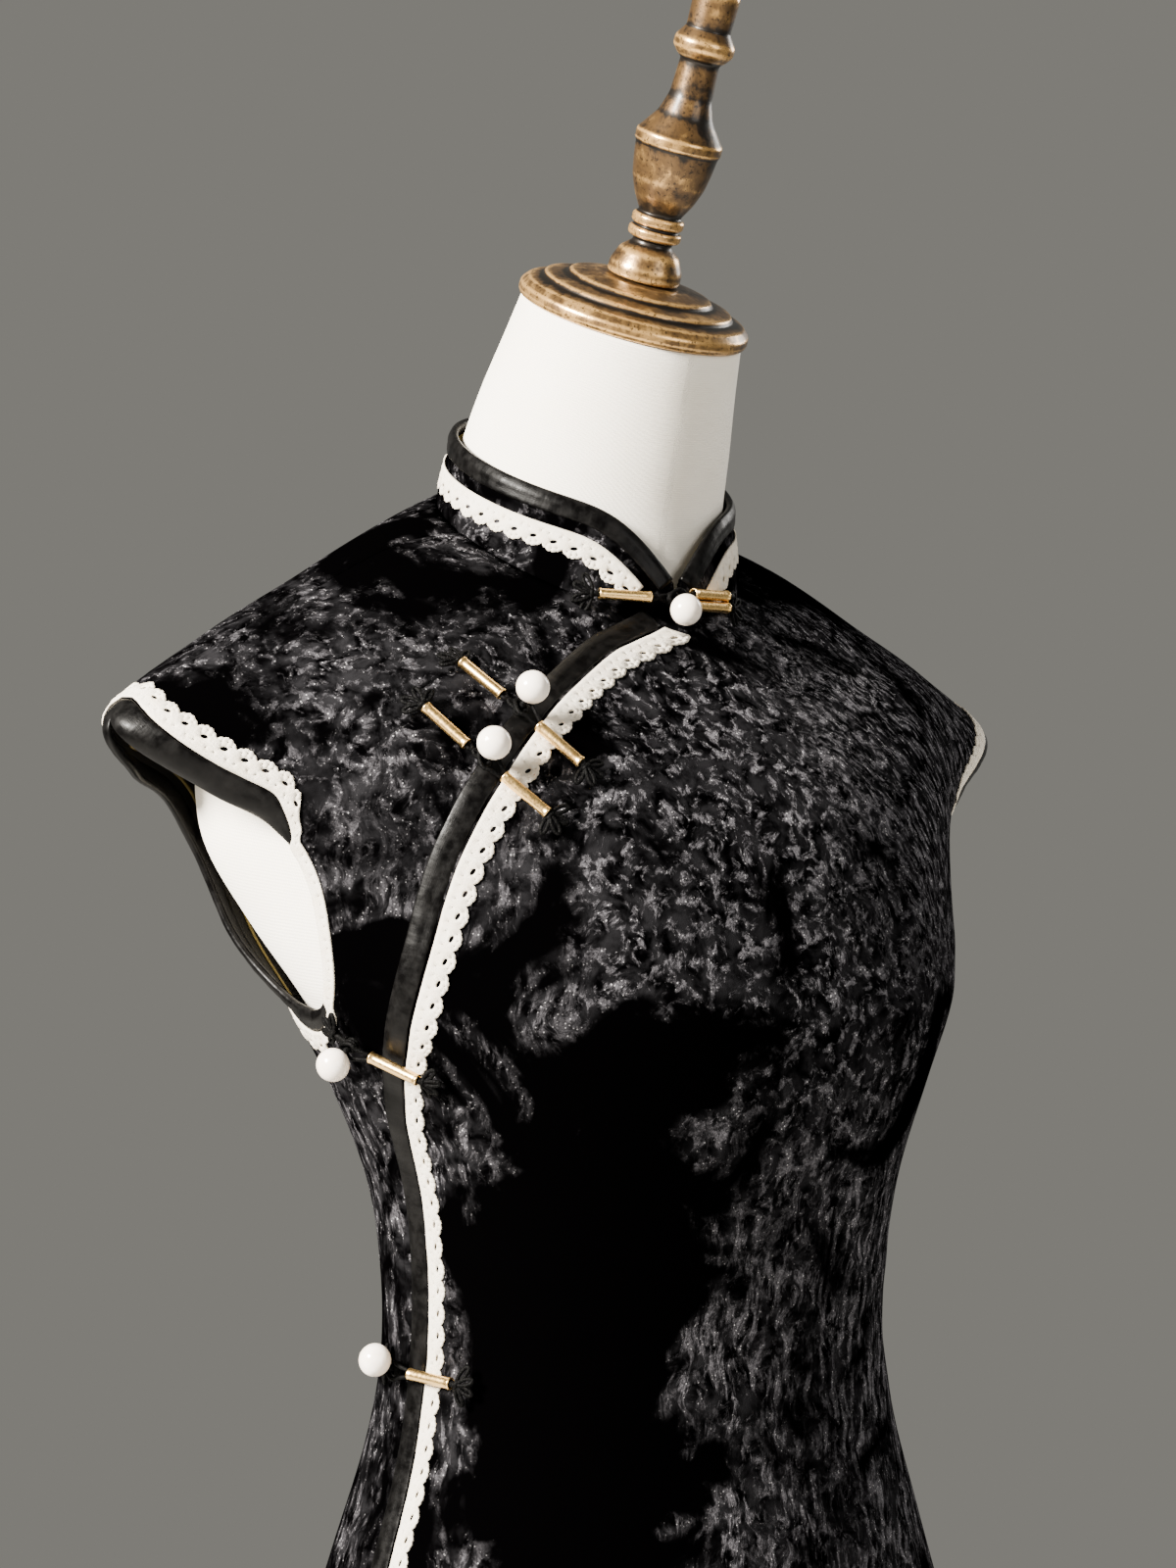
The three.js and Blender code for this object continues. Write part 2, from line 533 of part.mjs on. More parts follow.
// One frog on a surface. place is its middle, and heading points along it to the loop's side, over the front panel.
function frogMeshes({ name, buttonTubes, loopTubes, pearlUp, lowered }, surface, place, heading) {
  const [cordHeight, loopHeight, pearlHeight] = [CORD_HEIGHT, LOOP_HEIGHT, PEARL_HEIGHT].map((height) => height - lowered);
  const { tubeFrom, tubeLength, cordRadius, pearlRadius } = FROG;
  const upright = uprightAt(frameOn(surface, ...place), heading);
  const sideways = new THREE.Vector3(0, 1, 0).transformDirection(upright);
  const meshes = [];
  for (const [side, label, tubes] of [[-1, "button", buttonTubes], [1, "loop", loopTubes]]) {
    const pieces = [];
    const strands = tubes === 2 ? [-KNOT.strandsApart / 2, KNOT.strandsApart / 2] : [0];
    strands.forEach((offset, strand) => {
      const row = walk(surface, place, sideways, offset);
      const at = (distance, height) => lifted(surface, ...walk(surface, row, heading, distance), height);
      const over = frameOn(surface, ...walk(surface, row, heading, side * (tubeFrom + tubeLength / 2)));
      const [inner, outer] = [at(side * tubeFrom, cordHeight), at(side * (tubeFrom + tubeLength), cordHeight)];
      const middle = inner.clone().lerp(outer, 0.5);
      const sunk = cordHeight - middle.clone().sub(over.point).dot(over.normal);
      for (const point of [inner, outer, middle]) point.addScaledVector(over.normal, Math.max(0, sunk));
      const along = outer.clone().sub(inner).normalize();
      const beyond = (point, distance) => point.clone().addScaledVector(along, distance);
      const start = label === "button" ? [at(0, cordHeight), at(-3, cordHeight)] : [at(4.6, loopHeight), at(5.6, loopHeight)];
      const tail = tubes ? beyond(outer, KNOT.tail) : at(side * tubeFrom, cordHeight);
      pieces.push(cordGeometry(tubes ? [...start, beyond(inner, -1), beyond(outer, 1), tail] : [...start, tail], cordRadius));
      if (strand === 0) {
        const across = new THREE.Vector3().crossVectors(over.normal, along).normalize();
        const flat = new THREE.Vector3().crossVectors(along, across);
        pieces.push(cloverGeometry(new THREE.Matrix4().makeBasis(along, across, flat).setPosition(tail)));
      }
      if (!tubes) return;
      const suffix = strand === 1 ? "_second" : "";
      meshes.push(made(`${name}_tube_${label}${suffix}`, tubeGeometry(), GOLD, (mesh) => {
        mesh.position.copy(middle);
        mesh.quaternion.setFromUnitVectors(new THREE.Vector3(0, 1, 0), along);
      }));
    });
    const end = label === "button"
      ? new THREE.CylinderGeometry(KNOT.radius, KNOT.radius, KNOT.height, 8).rotateX(Math.PI / 2).translate(0, 0, cordHeight)
      : new THREE.TorusGeometry(KNOT.loopRadius, KNOT.loopCord, 4, 10).translate(0, 0, loopHeight);
    meshes.push(made(`${name}_cord_${label}`, joined(...pieces, end.applyMatrix4(upright)), CORD));
  }
  const pearl = new THREE.SphereGeometry(pearlRadius, 12, 6).translate(0, pearlUp, pearlHeight).applyMatrix4(upright);
  meshes.push(made(`${name}_pearl`, pearl, PEARL));
  return meshes;
}

// A frame whose Z is the cloth's normal, whose X is the heading, and whose origin lies on the cloth.
function uprightAt({ point, normal }, heading) {
  const x = heading.clone().addScaledVector(normal, -heading.dot(normal)).normalize();
  const y = new THREE.Vector3().crossVectors(normal, x);
  return new THREE.Matrix4().makeBasis(x, y, normal).setPosition(point);
}

// Where each frog lies on the front panel's edge: inward of the edge, and turned from square to it in degrees.
// pearlUp is how far its pearl leans across it, and lowered is how far it is seated below the usual height, where
// the trim curves away. The frogs of the side have no tube on the button's side.
const FROGS = table(
  ["name", "level", "inward", "turned", "pearlUp", "buttonTubes", "loopTubes", "lowered"],
  ["frog_chest_upper", 3.82, 1.2, -13, 4, 1, 1, 0.88],
  ["frog_chest_lower", 4.66, 1.2, -12, 4, 1, 1, 1],
  ["frog_underarm", 10.42, -12.5, 0, -3, 0, 1, 0.37],
  ["frog_waist", 13.97, -3.5, 0, 4, 0, 1, 0.69],
  ["frog_hip", 16.9, 0, 0, 4.5, 0, 1, 0.94],
  ["frog_thigh", 18.75, 0, 0, 4.5, 0, 1, 1.44],
);
const NECK_FROG = { name: "frog_neck", rise: 0.17, turn: -5.5, pearlUp: -6, buttonTubes: 1, loopTubes: 2, lowered: 0 };

// The form's turned parts, as radius and height from the bottom up

const CAP_PROFILE = [[0, 0], [48.5, 0], [49.5, 2], [49.3, 5], [46.5, 8], [41, 9.5], [40, 11.5], [31.5, 13], [30, 15], [20, 17], [0, 17.5]];
const CAP_TOP = 17.5;
const FINIAL_PROFILE = [
  [0, 0], [15.6, 0], [15.4, 5], [12.8, 11], [8.6, 14.5], [8.2, 16], [11.2, 17.5], [11.2, 20.5], [9.2, 21.7],
  [11, 23], [11, 26], [8.8, 27.5], [12.6, 34], [15.3, 41], [16.6, 48], [17.4, 54.5], [18.2, 56], [18.2, 59.5], [16.6, 61.5],
  [11.5, 68.5], [8.9, 76.5], [8.2, 91], [10.2, 92.5], [12.6, 95.5], [12.6, 99], [9.8, 103], [9.2, 104], [9.6, 118], [8, 121], [0, 121],
];
const BASE_PROFILE = [[0, 0], [BASE.radius, 0], [BASE.radius, 9], [BASE.radius - 5, 14], [BASE.radius - 60, 17], [26, 24], [0, 24]];

function lathe(profile, segments) {
  const points = profile.map(([r, y]) => new THREE.Vector2(r, y));
  return new THREE.LatheGeometry(points, segments).rotateX(Math.PI / 2);
}

function formBody() {
  const sides = 32;
  const turns = spaced(0, 360, sides).slice(0, -1);
  const lean = radians(NECK_LEAN);
  const neck = NECK_DISCS.map(({ height, centreY, radius }) =>
    turns.map((turn) => {
      const forwards = radius * Math.cos(radians(turn));
      return new THREE.Vector3(
        radius * Math.sin(radians(turn)),
        centreY - forwards * Math.cos(lean),
        height - forwards * Math.sin(lean),
      );
    }),
  );
  const body = FORM_RINGS.map((ring, level) =>
    turns.map((turn) => {
      const point = ringPoint(FORM_RINGS, level, turn);
      const fromArm = Math.abs(turn > 180 ? turn - 360 : turn) - ARM.turn;
      point.x += Math.sign(point.x) * ring.arm * Math.exp(-((fromArm / ARM.spread) ** 2));
      return point;
    }),
  );
  return loft([...neck, ...body]);
}

// Materials

const material = (color, roughness, metalness = 0) => new THREE.MeshStandardMaterial({ color, roughness, metalness });
const BLACK_VELVET = material(0x0c0c0e, 0.55);
const SATIN = material(0x0b0a0b, 0.35);
const COTTON_LACE = material(0xf2e6d2, 0.85);
const CORD = material(0x0d0c0c, 0.6);
const PEARL = material(0xf5ece0, 0.25);
const GOLD = material(0xd9ab52, 0.25, 0.9);
const FORM_CLOTH = material(0xf0e6d4, 0.8);
const BRONZE = material(0x6f5631, 0.4, 0.7);

function made(name, geometry, look, place = () => {}) {
  const mesh = new THREE.Mesh(geometry, look);
  mesh.name = name;
  place(mesh);
  return mesh;
}

const dress = new THREE.Group();
dress.add(
  made("front_panel", frontPanel(), BLACK_VELVET),
  made("right_front_underlap", underlapPanel(), BLACK_VELVET),
  made("back_panel", backPanel(), BLACK_VELVET),
  made("collar", collarBand(), BLACK_VELVET),
  made("collar_binding", collarStrip(0, COLLAR.binding, 2.5, 40, BINDING.thickness), SATIN),
  made("collar_lace", collarStrip(COLLAR.laceFrom, COLLAR.laceFrom + LACE.width, 7, 38, LACE.thickness), COTTON_LACE),
  made("front_edge_binding", strip(clothSurface, edgeStations(EDGE, 0, BINDING.width), BINDING.thickness), SATIN),
  made("front_edge_lace", strip(clothSurface, edgeStations(EDGE, LACE_FROM, LACE_FROM + LACE.width), LACE.thickness), COTTON_LACE),
);
for (const [side, label] of [[-1, "right"], [1, "left"]]) {
  dress.add(
    made(`armhole_binding_${label}`, armholeStrip(side, "binding"), SATIN),
    made(`armhole_lace_${label}`, armholeStrip(side, "lace"), COTTON_LACE),
  );
}
for (const frog of FROGS) {
  const [{ place, heading }] = edgeStations([frog.level]);
  const centre = walk(clothSurface, place, heading, frog.inward);
  heading.applyAxisAngle(frameOn(clothSurface, ...centre).normal, radians(frog.turned));
  dress.add(...frogMeshes(frog, clothSurface, centre, heading));
}
dress.add(...frogMeshes(NECK_FROG, collarSurface, [NECK_FROG.rise, NECK_FROG.turn], new THREE.Vector3(1, 0, -0.03)));

const stand = new THREE.Group();
const neckTop = new THREE.Group();
neckTop.position.set(0, NECK_DISCS[0].centreY, NECK_DISCS[0].height);
neckTop.rotation.x = radians(NECK_LEAN);
neckTop.add(
  made("form_neck_cap", lathe(CAP_PROFILE, 28), BRONZE, (mesh) => mesh.position.set(0, 0, SEAM)),
  made("form_finial", lathe(FINIAL_PROFILE, 16), BRONZE, (mesh) => mesh.position.set(0, 0, CAP_TOP + 2 * SEAM)),
);
stand.add(
  made("form_body", formBody(), FORM_CLOTH),
  neckTop,
  made("stand_pole", lathe([[0, BASE.height + SEAM], [POLE.radius, BASE.height + SEAM], [POLE.radius, POLE.top], [0, POLE.top]], 16), BRONZE),
  made("stand_base", lathe(BASE_PROFILE, 32), BRONZE),
);

const part = new THREE.Group();
part.add(dress, stand);
export default part;
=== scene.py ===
# A cheongsam of black crushed velvet with satin binding, cotton lace and frog fastenings, on a dress form.
# Sizes are in millimetres until a mesh is made, which is in metres. The dress faces -Y, and its right is -X.
import math
import bpy
import numpy as np
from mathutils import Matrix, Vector
from mathutils.geometry import delaunay_2d_cdt


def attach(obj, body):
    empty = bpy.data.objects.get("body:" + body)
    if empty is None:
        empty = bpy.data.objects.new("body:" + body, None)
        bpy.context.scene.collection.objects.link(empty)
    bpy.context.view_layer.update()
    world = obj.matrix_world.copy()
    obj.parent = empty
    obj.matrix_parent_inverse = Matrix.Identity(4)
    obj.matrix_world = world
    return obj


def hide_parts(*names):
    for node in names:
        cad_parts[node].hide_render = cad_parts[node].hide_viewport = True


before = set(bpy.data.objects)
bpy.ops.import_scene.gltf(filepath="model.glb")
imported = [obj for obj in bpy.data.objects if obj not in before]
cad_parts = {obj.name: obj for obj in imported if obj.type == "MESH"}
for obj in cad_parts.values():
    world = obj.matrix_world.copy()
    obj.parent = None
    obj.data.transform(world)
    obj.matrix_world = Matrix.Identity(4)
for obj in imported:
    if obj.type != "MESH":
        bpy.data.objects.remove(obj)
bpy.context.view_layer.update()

# Camera at the photograph's height and angle, with the form's axis a little right of the middle
VIEW_TURN = math.radians(37)
TO_CAMERA = Vector((-math.sin(VIEW_TURN), -math.cos(VIEW_TURN), 0))
TO_RIGHT = Vector((math.cos(VIEW_TURN), -math.sin(VIEW_TURN), 0))
EYE = {"distance": 1.163, "height": 1.273, "lens": 63.6, "shift": -0.028}

camera_data = bpy.data.cameras.new("camera")
camera_data.sensor_fit = "AUTO"
camera_data.sensor_width = 36
camera_data.lens = EYE["lens"]
camera_data.shift_x = EYE["shift"]
camera = bpy.data.objects.new("camera", camera_data)
camera.location = TO_CAMERA * EYE["distance"] + Vector((0, 0, EYE["height"]))
camera.rotation_euler = (-TO_CAMERA).to_track_quat("-Z", "Y").to_euler()
bpy.context.scene.collection.objects.link(camera)
bpy.context.scene.camera = camera

# Sizes of the garment
VELVET = 1.5
BINDING = {"width": 9, "cap_width": 12.5, "turned_in": 1.1}
LACE = {"width": 10.5, "gap": 1.5, "pitch": 8.8, "scallop": 2.6, "picot": 0.38, "thickness": 0.75}
COLLAR = {"thickness": 2, "binding": 7.7, "lace_from": 12.5}
COLLAR_FRONT = {"vee": 33, "power": 1.65, "share": 0.3, "ease": 5}
UNDERLAP = {"depth": 2.7, "thickness": 1.3, "blend": 14, "hidden": 13}
OPENING = {"first": 5, "last": 10, "front": 14.5, "back": 26}
SLIT = {"level": 19, "half": 1.2}
SEAM = 0.3
ARMHOLE_STEP = 1.2
NECK_LEAN = math.radians(25)


def table(columns, *rows):
    return {name: np.array([row[i] for row in rows], float) for i, name in enumerate(columns)}


# The outside of the cloth: a ring at each level, from the neck seam down to the hem.
RING_COLUMNS = ["side_z", "front_z", "back_z", "half_width", "middle_y", "front_y", "back_y", "round"]
RINGS = table(
    [*RING_COLUMNS, "cap", "cap_back", "edge"],
    [1378, 1341, 1406, 66, 32, -32, 94, 2.0, 0, 0, -15.6],  # 0 neck seam
    [1376, 1333, 1397, 80.3, 32, -38, 99, 2.0, 0, 0, -22.9],
    [1368, 1323, 1382, 104.4, 31, -47, 103, 1.95, 0, 0, -28.5],
    [1349, 1304, 1362, 139.8, 30, -64, 107, 1.9, 1, 1, -34],
    [1327, 1284, 1339, 170, 29, -83, 110, 1.85, 13, 13, -38.2],
    [1298, 1260, 1311, 177, 28, -99, 112, 1.8, 49, 49, -45.2],  # 5 tip of the cap sleeve
    [1275, 1245, 1293, 175, 27, -104, 113, 1.8, 31, 40, -50],
    [1263, 1231, 1275, 172, 25, -107, 115, 1.8, 16, 36, -53.3],
    [1243, 1216, 1250, 168, 21, -109, 115, 1.82, 6, 37, -57.1],
    [1214, 1199, 1217, 161.5, 15, -112.2, 110.8, 1.88, 2, 24, -62.3],
    [1184, 1180, 1185, 150, 8, -115.4, 103.6, 2.0, 0, 0, -70.3],  # 10 underarm
    [1150, 1150, 1150, 132.5, 4, -111.9, 92.2, 2.05, 0, 0, -80.5],
    [1112, 1112, 1112, 117.4, 2, -102.2, 82.2, 2.1, 0, 0, -84.5],
    [1076, 1076, 1076, 112.9, 0, -93.9, 76.8, 2.1, 0, 0, -86],
    [1041, 1041, 1041, 113.1, 0, -90.1, 75.7, 2.1, 0, 0, -87],  # 14 waist
    [1005, 1005, 1005, 119.2, 0, -92.3, 83.2, 2.1, 0, 0, -87],
    [960, 960, 960, 133, 0, -99, 97.3, 2.1, 0, 0, -87],
    [910, 910, 910, 148, 0, -106, 110.8, 2.12, 0, 0, -87],
    [855, 855, 855, 160, 0, -111, 119, 2.15, 0, 0, -87],  # 18 hip
    [780, 780, 780, 164, 0, -112, 117, 2.2, 0, 0, -87],  # 19 top of the side slits
    [680, 680, 680, 163, 0, -106, 107, 2.2, 0, 0, -87],
    [560, 560, 560, 160, 0, -100, 99, 2.2, 0, 0, -87],
    [400, 400, 400, 158, 0, -95, 94, 2.2, 0, 0, -87],
    [240, 240, 240, 157, 0, -92, 92, 2.2, 0, 0, -87],  # 23 hem
)
HEM = 23

# The bare form below its neck: rings as above. arm is how far it bulges where an arm would start.
FORM_RINGS = table(
    [*RING_COLUMNS, "arm"],
    [1376.7, 1342, 1402.3, 63, 32, -24, 90, 2.0, 0],
    [1373.4, 1328, 1394.3, 74.5, 32, -30, 92.5, 2.0, 0],
    [1362.5, 1316, 1378.5, 99, 31, -40, 96.5, 1.95, 0],
    [1343.5, 1296, 1358.5, 134, 30, -57, 100.5, 1.9, 0],
    [1324, 1278, 1337, 158, 29, -76, 103.5, 1.85, 0],
    [1303, 1262, 1317, 169, 28, -89, 105, 1.8, 8],
    [1283, 1246, 1294, 170, 27, -96.5, 106, 1.8, 18],
    [1261, 1229, 1271, 166, 25, -99.5, 107, 1.8, 24],
    [1241, 1216, 1248, 161, 21, -101.5, 106, 1.82, 24],
    [1214, 1199, 1217, 153.5, 15, -104.5, 102.5, 1.88, 13],
    [1184, 1180, 1185, 142.5, 8, -107.9, 96, 2.0, 1],
    [1150, 1150, 1150, 126, 4, -105, 85.5, 2.05, 0],
    [1112, 1112, 1112, 111, 2, -95.5, 75.5, 2.1, 0],
    [1076, 1076, 1076, 106.5, 0, -87.4, 70.3, 2.1, 0],
    [1041, 1041, 1041, 106.6, 0, -83.6, 69.2, 2.1, 0],
    [1005, 1005, 1005, 112.5, 0, -85.8, 76.5, 2.1, 0],
    [960, 960, 960, 126.5, 0, -92.5, 90.7, 2.1, 0],
    [910, 910, 910, 141.5, 0, -99.5, 104.3, 2.12, 0],
    [855, 855, 855, 153.5, 0, -104.5, 112.5, 2.15, 0],
    [800, 800, 800, 155, 0, -104, 110, 2.2, 0],
    [760, 760, 760, 150, 0, -99, 104, 2.2, 0],
)
NECK_DISCS = table(
    ["height", "centre_y", "radius"],
    [1468, 0, 47.5],
    [1450, 8.5, 50.5],
    [1428, 18.5, 54.5],
    [1406, 27.5, 57.5],
    [1388, 31.5, 59.5],
)
BUST = {"across": 78, "height": 1222, "forward": 7, "spread_across": 46, "spread_up": 48}
ARM = {"turn": 112, "spread": 26}
CAP_SPREAD = {"cap": 18, "cap_back": 44}
COLLAR_TOP = {"height": 1408.5, "tilt": 26.7, "centre_y": 27.7, "radius": 61.5, "depth": 56}

# Soft creases of the cloth, each along a line between two places. A positive height is a ridge.
CREASES = table(
    ["level", "turn", "to_level", "to_turn", "width", "height"],
    [3.2, -14, 6.6, -30, 9, 0.9],
    [3.6, 8, 7.2, -12, 11, -0.8],
    [2.4, 30, 6.8, 12, 12, 1.0],
    [4.4, 44, 8.2, 26, 9, 0.9],
    [5.6, 58, 8.8, 40, 8, -0.8],
    [9.2, -66, 8.6, -44, 8, 1.1],
    [9.9, -78, 10.2, -52, 8, 1.0],
    [10.6, -84, 11.4, -60, 7, -0.9],
    [9.6, 74, 8.9, 48, 8, 1.0],
    [10.4, 82, 10.9, 54, 9, -0.9],
    [12.4, -82, 13.0, -52, 6, 0.8],
    [13.2, -80, 13.5, -38, 7, 0.9],
    [13.8, -84, 13.9, -56, 6, -0.8],
    [14.6, -84, 14.2, -46, 7, 0.8],
    [12.8, 82, 13.2, 44, 7, 0.8],
    [13.9, 84, 14.0, 50, 7, -0.9],
    [14.8, 82, 14.4, 36, 8, 0.8],
    [16.6, -60, 18.4, -30, 15, 1.0],
    [16.4, 58, 18.6, 34, 16, 1.1],
    [18.4, -10, 22.5, -14, 20, 1.6],
    [18.8, 26, 22.9, 30, 24, -1.6],
    [19.4, -44, 22.9, -48, 20, 1.7],
    [13.3, 126, 13.2, 168, 8, 0.9],
    [14.3, 112, 14.2, 158, 8, -0.9],
    [13.6, 246, 13.8, 206, 8, 0.9],
    [6.8, 122, 9.4, 142, 10, 1.0],
    [6.6, 238, 9.2, 216, 10, 1.0],
    [15.0, 196, 16.8, 214, 12, 1.0],
    [18.6, 160, 22.9, 156, 22, 1.6],
    [18.8, 205, 22.9, 210, 24, -1.6],
)


# Surfaces

def column(rows, name, level):
    """A smooth curve through one column of a table."""
    values = rows[name]
    i = np.clip(np.floor(level).astype(int), 0, len(values) - 2)
    a, b, c, d = (values[np.clip(i + k, 0, len(values) - 1)] for k in (-1, 0, 1, 2))
    f = level - i
    return b + 0.5 * f * (c - a + f * (2 * a - 5 * b + 4 * c - d + f * (3 * (b - c) + d - a)))


def ring_point(rows, level, turn):
    """A place on a body given by a table of rings. turn is in degrees, from the front to the left."""
    level, turn = np.broadcast_arrays(np.asarray(level, float), np.asarray(turn, float))
    s, c = np.sin(np.radians(turn)), np.cos(np.radians(turn))
    n = column(rows, "round", level)
    push = (np.abs(s) ** n + np.abs(c) ** n) ** (-1 / n)
    side, front, back = (column(rows, name, level) for name in ("side_z", "front_z", "back_z"))
    mean = ((front + back) / 2 + side) / 2
    saddle = ((front + back) / 2 - side) / 2
    middle = column(rows, "middle_y", level)
    depth = np.where(c > 0, middle - column(rows, "front_y", level), column(rows, "back_y", level) - middle)
    x = column(rows, "half_width", level) * push * s
    z = mean + (front - back) / 2 * c + saddle * np.cos(2 * np.radians(turn))
    y = middle - depth * push * c
    across = (np.abs(x) - BUST["across"]) / BUST["spread_across"]
    up = (z - BUST["height"]) / BUST["spread_up"]
    y = y - np.where(c > 0, BUST["forward"] * np.exp(-across * across - up * up), 0)
    return np.stack([x, y, z], -1)


def cloth(level, turn):
    """A place on the outside of the dress."""
    level, turn = np.broadcast_arrays(np.asarray(level, float), np.asarray(turn, float))
    point = ring_point(RINGS, level, turn)
    from_side = np.abs(np.where(turn > 180, turn - 360, turn)) - 90
    cap, cap_back = (
        np.maximum(0, column(RINGS, name, level)) * np.exp(-((from_side / spread) ** 2))
        for name, spread in CAP_SPREAD.items()
    )
    point[..., 0] += np.sign(point[..., 0]) * np.where(from_side > 0, cap_back, cap)
    return point


def collar(rise, turn):
    """A place on the outside of the collar, from 0 at the neck seam to 1 at its full height."""
    rise, turn = np.broadcast_arrays(np.asarray(rise, float), np.asarray(turn, float))
    s, c = np.sin(np.radians(turn)), np.cos(np.radians(turn))
    top = np.stack(
        [
            COLLAR_TOP["radius"] * s,
            COLLAR_TOP["centre_y"] - COLLAR_TOP["depth"] * c,
            COLLAR_TOP["height"] - COLLAR_TOP["tilt"] * c,
        ],
        -1,
    )
    seam = cloth(0, turn)
    return seam + (top - seam) * rise[..., None]


def unit(v):
    return v / np.linalg.norm(v, axis=-1, keepdims=True)


def frame_on(surface, p, q):
    """The point, the two slopes and the outward normal of a surface."""
    dp, dq = 1e-3, 1e-2
    along_p = (surface(p + dp, q) - surface(p - dp, q)) / (2 * dp)
    along_q = (surface(p, q + dq) - surface(p, q - dq)) / (2 * dq)
    normal = unit(np.cross(along_p, along_q))
    point = surface(p, q)
    outward = normal[..., 0] * point[..., 0] + normal[..., 1] * (point[..., 1] - 20)
    return point, along_p, along_q, normal * np.where(outward < 0, -1, 1)[..., None]


def walk(surface, p, q, heading, distance):
    """Walks on a surface from one place along a heading in space, and returns the place reached."""
    p, q, way = np.asarray(p, float), np.asarray(q, float), np.asarray(heading, float)
    steps = 4
    for _ in range(steps):
        _, along_p, along_q, normal = frame_on(surface, p, q)
        way = unit(way - normal * np.sum(way * normal, -1, keepdims=True))
        e, f, g = (np.sum(a * b, -1) for a, b in ((along_p, along_p), (along_p, along_q), (along_q, along_q)))
        a, b = np.sum(along_p * way, -1), np.sum(along_q * way, -1)
        step = distance / steps / (e * g - f * f)
        p, q = p + (a * g - b * f) * step, q + (b * e - a * f) * step
    return p, q


def smooth(x):
    t = np.clip(x, 0, 1)
    return t * t * (3 - 2 * t)


CREASE_LINES = [
    (cloth(level, turn), cloth(to_level, to_turn), width, height)
    for level, turn, to_level, to_turn, width, height in zip(*CREASES.values())
]


def relief(points):
    """How far the creases lift the cloth at some points."""
    total = np.zeros(points.shape[:-1])
    for start, end, width, height in CREASE_LINES:
        line = end - start
        along = np.clip(np.sum((points - start) * line, -1) / np.sum(line * line), 0, 1)
        middle = start + along[..., None] * line
        away = np.linalg.norm(points - middle, axis=-1) / width
        total += height * np.sin(np.pi * np.clip(along, 0.02, 0.98)) * np.exp(-away * away)
    return total


def seated(surface, p, q, lift):
    """A place at a height above a surface, over its creases."""
    point, _, _, normal = frame_on(surface, p, q)
    if surface is cloth:
        lift = lift + relief(point)
    return point + normal * np.asarray(lift)[..., None]


# Edges of the panels

def front_edge(level):
    return column(RINGS, "edge", level)


def on_front_edge(level):
    return cloth(level, front_edge(level))


def seam_turn(level):
    return np.degrees(SEAM / 2 / ((column(RINGS, "back_y", level) - column(RINGS, "front_y", level)) / 2))


def armhole_share(level, widest, power):
    """The share of an armhole's full opening that it has at each level."""
    along = np.clip((level - OPENING["first"]) / (OPENING["last"] - OPENING["first"]), 0, 1)
    upper = np.sin(np.pi / 2 * np.minimum(along / widest, 1)) ** power
    lower = np.sqrt(np.clip(1 - ((along - widest) / (1 - widest)) ** 2, 0, 1))
    return np.where(along < widest, upper, lower)


FRONT_OPENING = {"widest": 0.6, "power": 0.8}
BACK_OPENING = {"widest": 0.68, "power": 2}


def slit_turn(level):
    """How far half a side seam is open, in degrees, with the slit below it."""
    return seam_turn(level) + SLIT["half"] * smooth(3 * (level - SLIT["level"]))


def front_side(level):
    return 90 - slit_turn(level) - OPENING["front"] * armhole_share(level, **FRONT_OPENING)


def back_side(level):
    return 90 + slit_turn(level) + OPENING["back"] * armhole_share(level, **BACK_OPENING)


def underlap_depth(level, turn):
    """How deep the right front lies under the line of the cloth."""
    start = np.maximum(-front_side(level), front_edge(level) - UNDERLAP["blend"])
    depth = UNDERLAP["depth"] * smooth((turn - start) / (front_edge(level) - 0.5 - start))
    return np.where((turn > 180) | (turn < -90), 0, depth)


# Meshes

def piece(name, slot, nodes, looks, points, faces, uv=None, look_of=None, wear=None):
    """A smooth closed piece that stands for some solids. look_of is each face's look, uv is in millimetres."""
    points = np.asarray(points, float).reshape(-1, 3)
    mesh = bpy.data.meshes.new(name)
    mesh.from_pydata((points * 0.001).tolist(), [], [list(map(int, face)) for face in faces])
    mesh.validate(clean_customdata=False)
    for look in looks:
        mesh.materials.append(LOOKS[look])
    if look_of is not None:
        mesh.polygons.foreach_set("material_index", np.asarray(look_of, np.int32))
    if uv is not None:
        layer = mesh.uv_layers.new(name="cut")
        corners = np.empty(len(mesh.loops), np.int32)
        mesh.loops.foreach_get("vertex_index", corners)
        layer.data.foreach_set("uv", (np.asarray(uv, float)[corners] * 0.001).ravel())
    if wear is not None:
        mesh.attributes.new("wear", "FLOAT", "POINT").data.foreach_set("value", np.asarray(wear, np.float32))
    mesh.polygons.foreach_set("use_smooth", np.ones(len(mesh.polygons), bool))
    mesh.update()
    obj = bpy.data.objects.new(name, mesh)
    bpy.context.scene.collection.objects.link(obj)
    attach(obj, "root")
    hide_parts(*nodes)
    return obj


def signed_volume(points, faces):
    a, b, c = (points[[face[k] for face in faces]] for k in (0, 1, 2))
    volume = np.sum(a * np.cross(b, c))
    quads = [face for face in faces if len(face) == 4]
    if quads:
        a, c, d = (points[[face[k] for face in quads]] for k in (0, 2, 3))
        volume += np.sum(a * np.cross(c, d))
    return volume


def outward(points, faces):
    return faces if signed_volume(points, faces) > 0 else [tuple(reversed(face)) for face in faces]


def strips(rows, sides, closed=False):
    """Faces between rows of points that each go round once."""
    k, j = np.divmod(np.arange((rows if closed else rows - 1) * sides), sides)
    a, b, following = k * sides, (k + 1) % rows * sides, (j + 1) % sides
    return np.stack([a + j, a + following, b + following, b + j], -1).tolist()


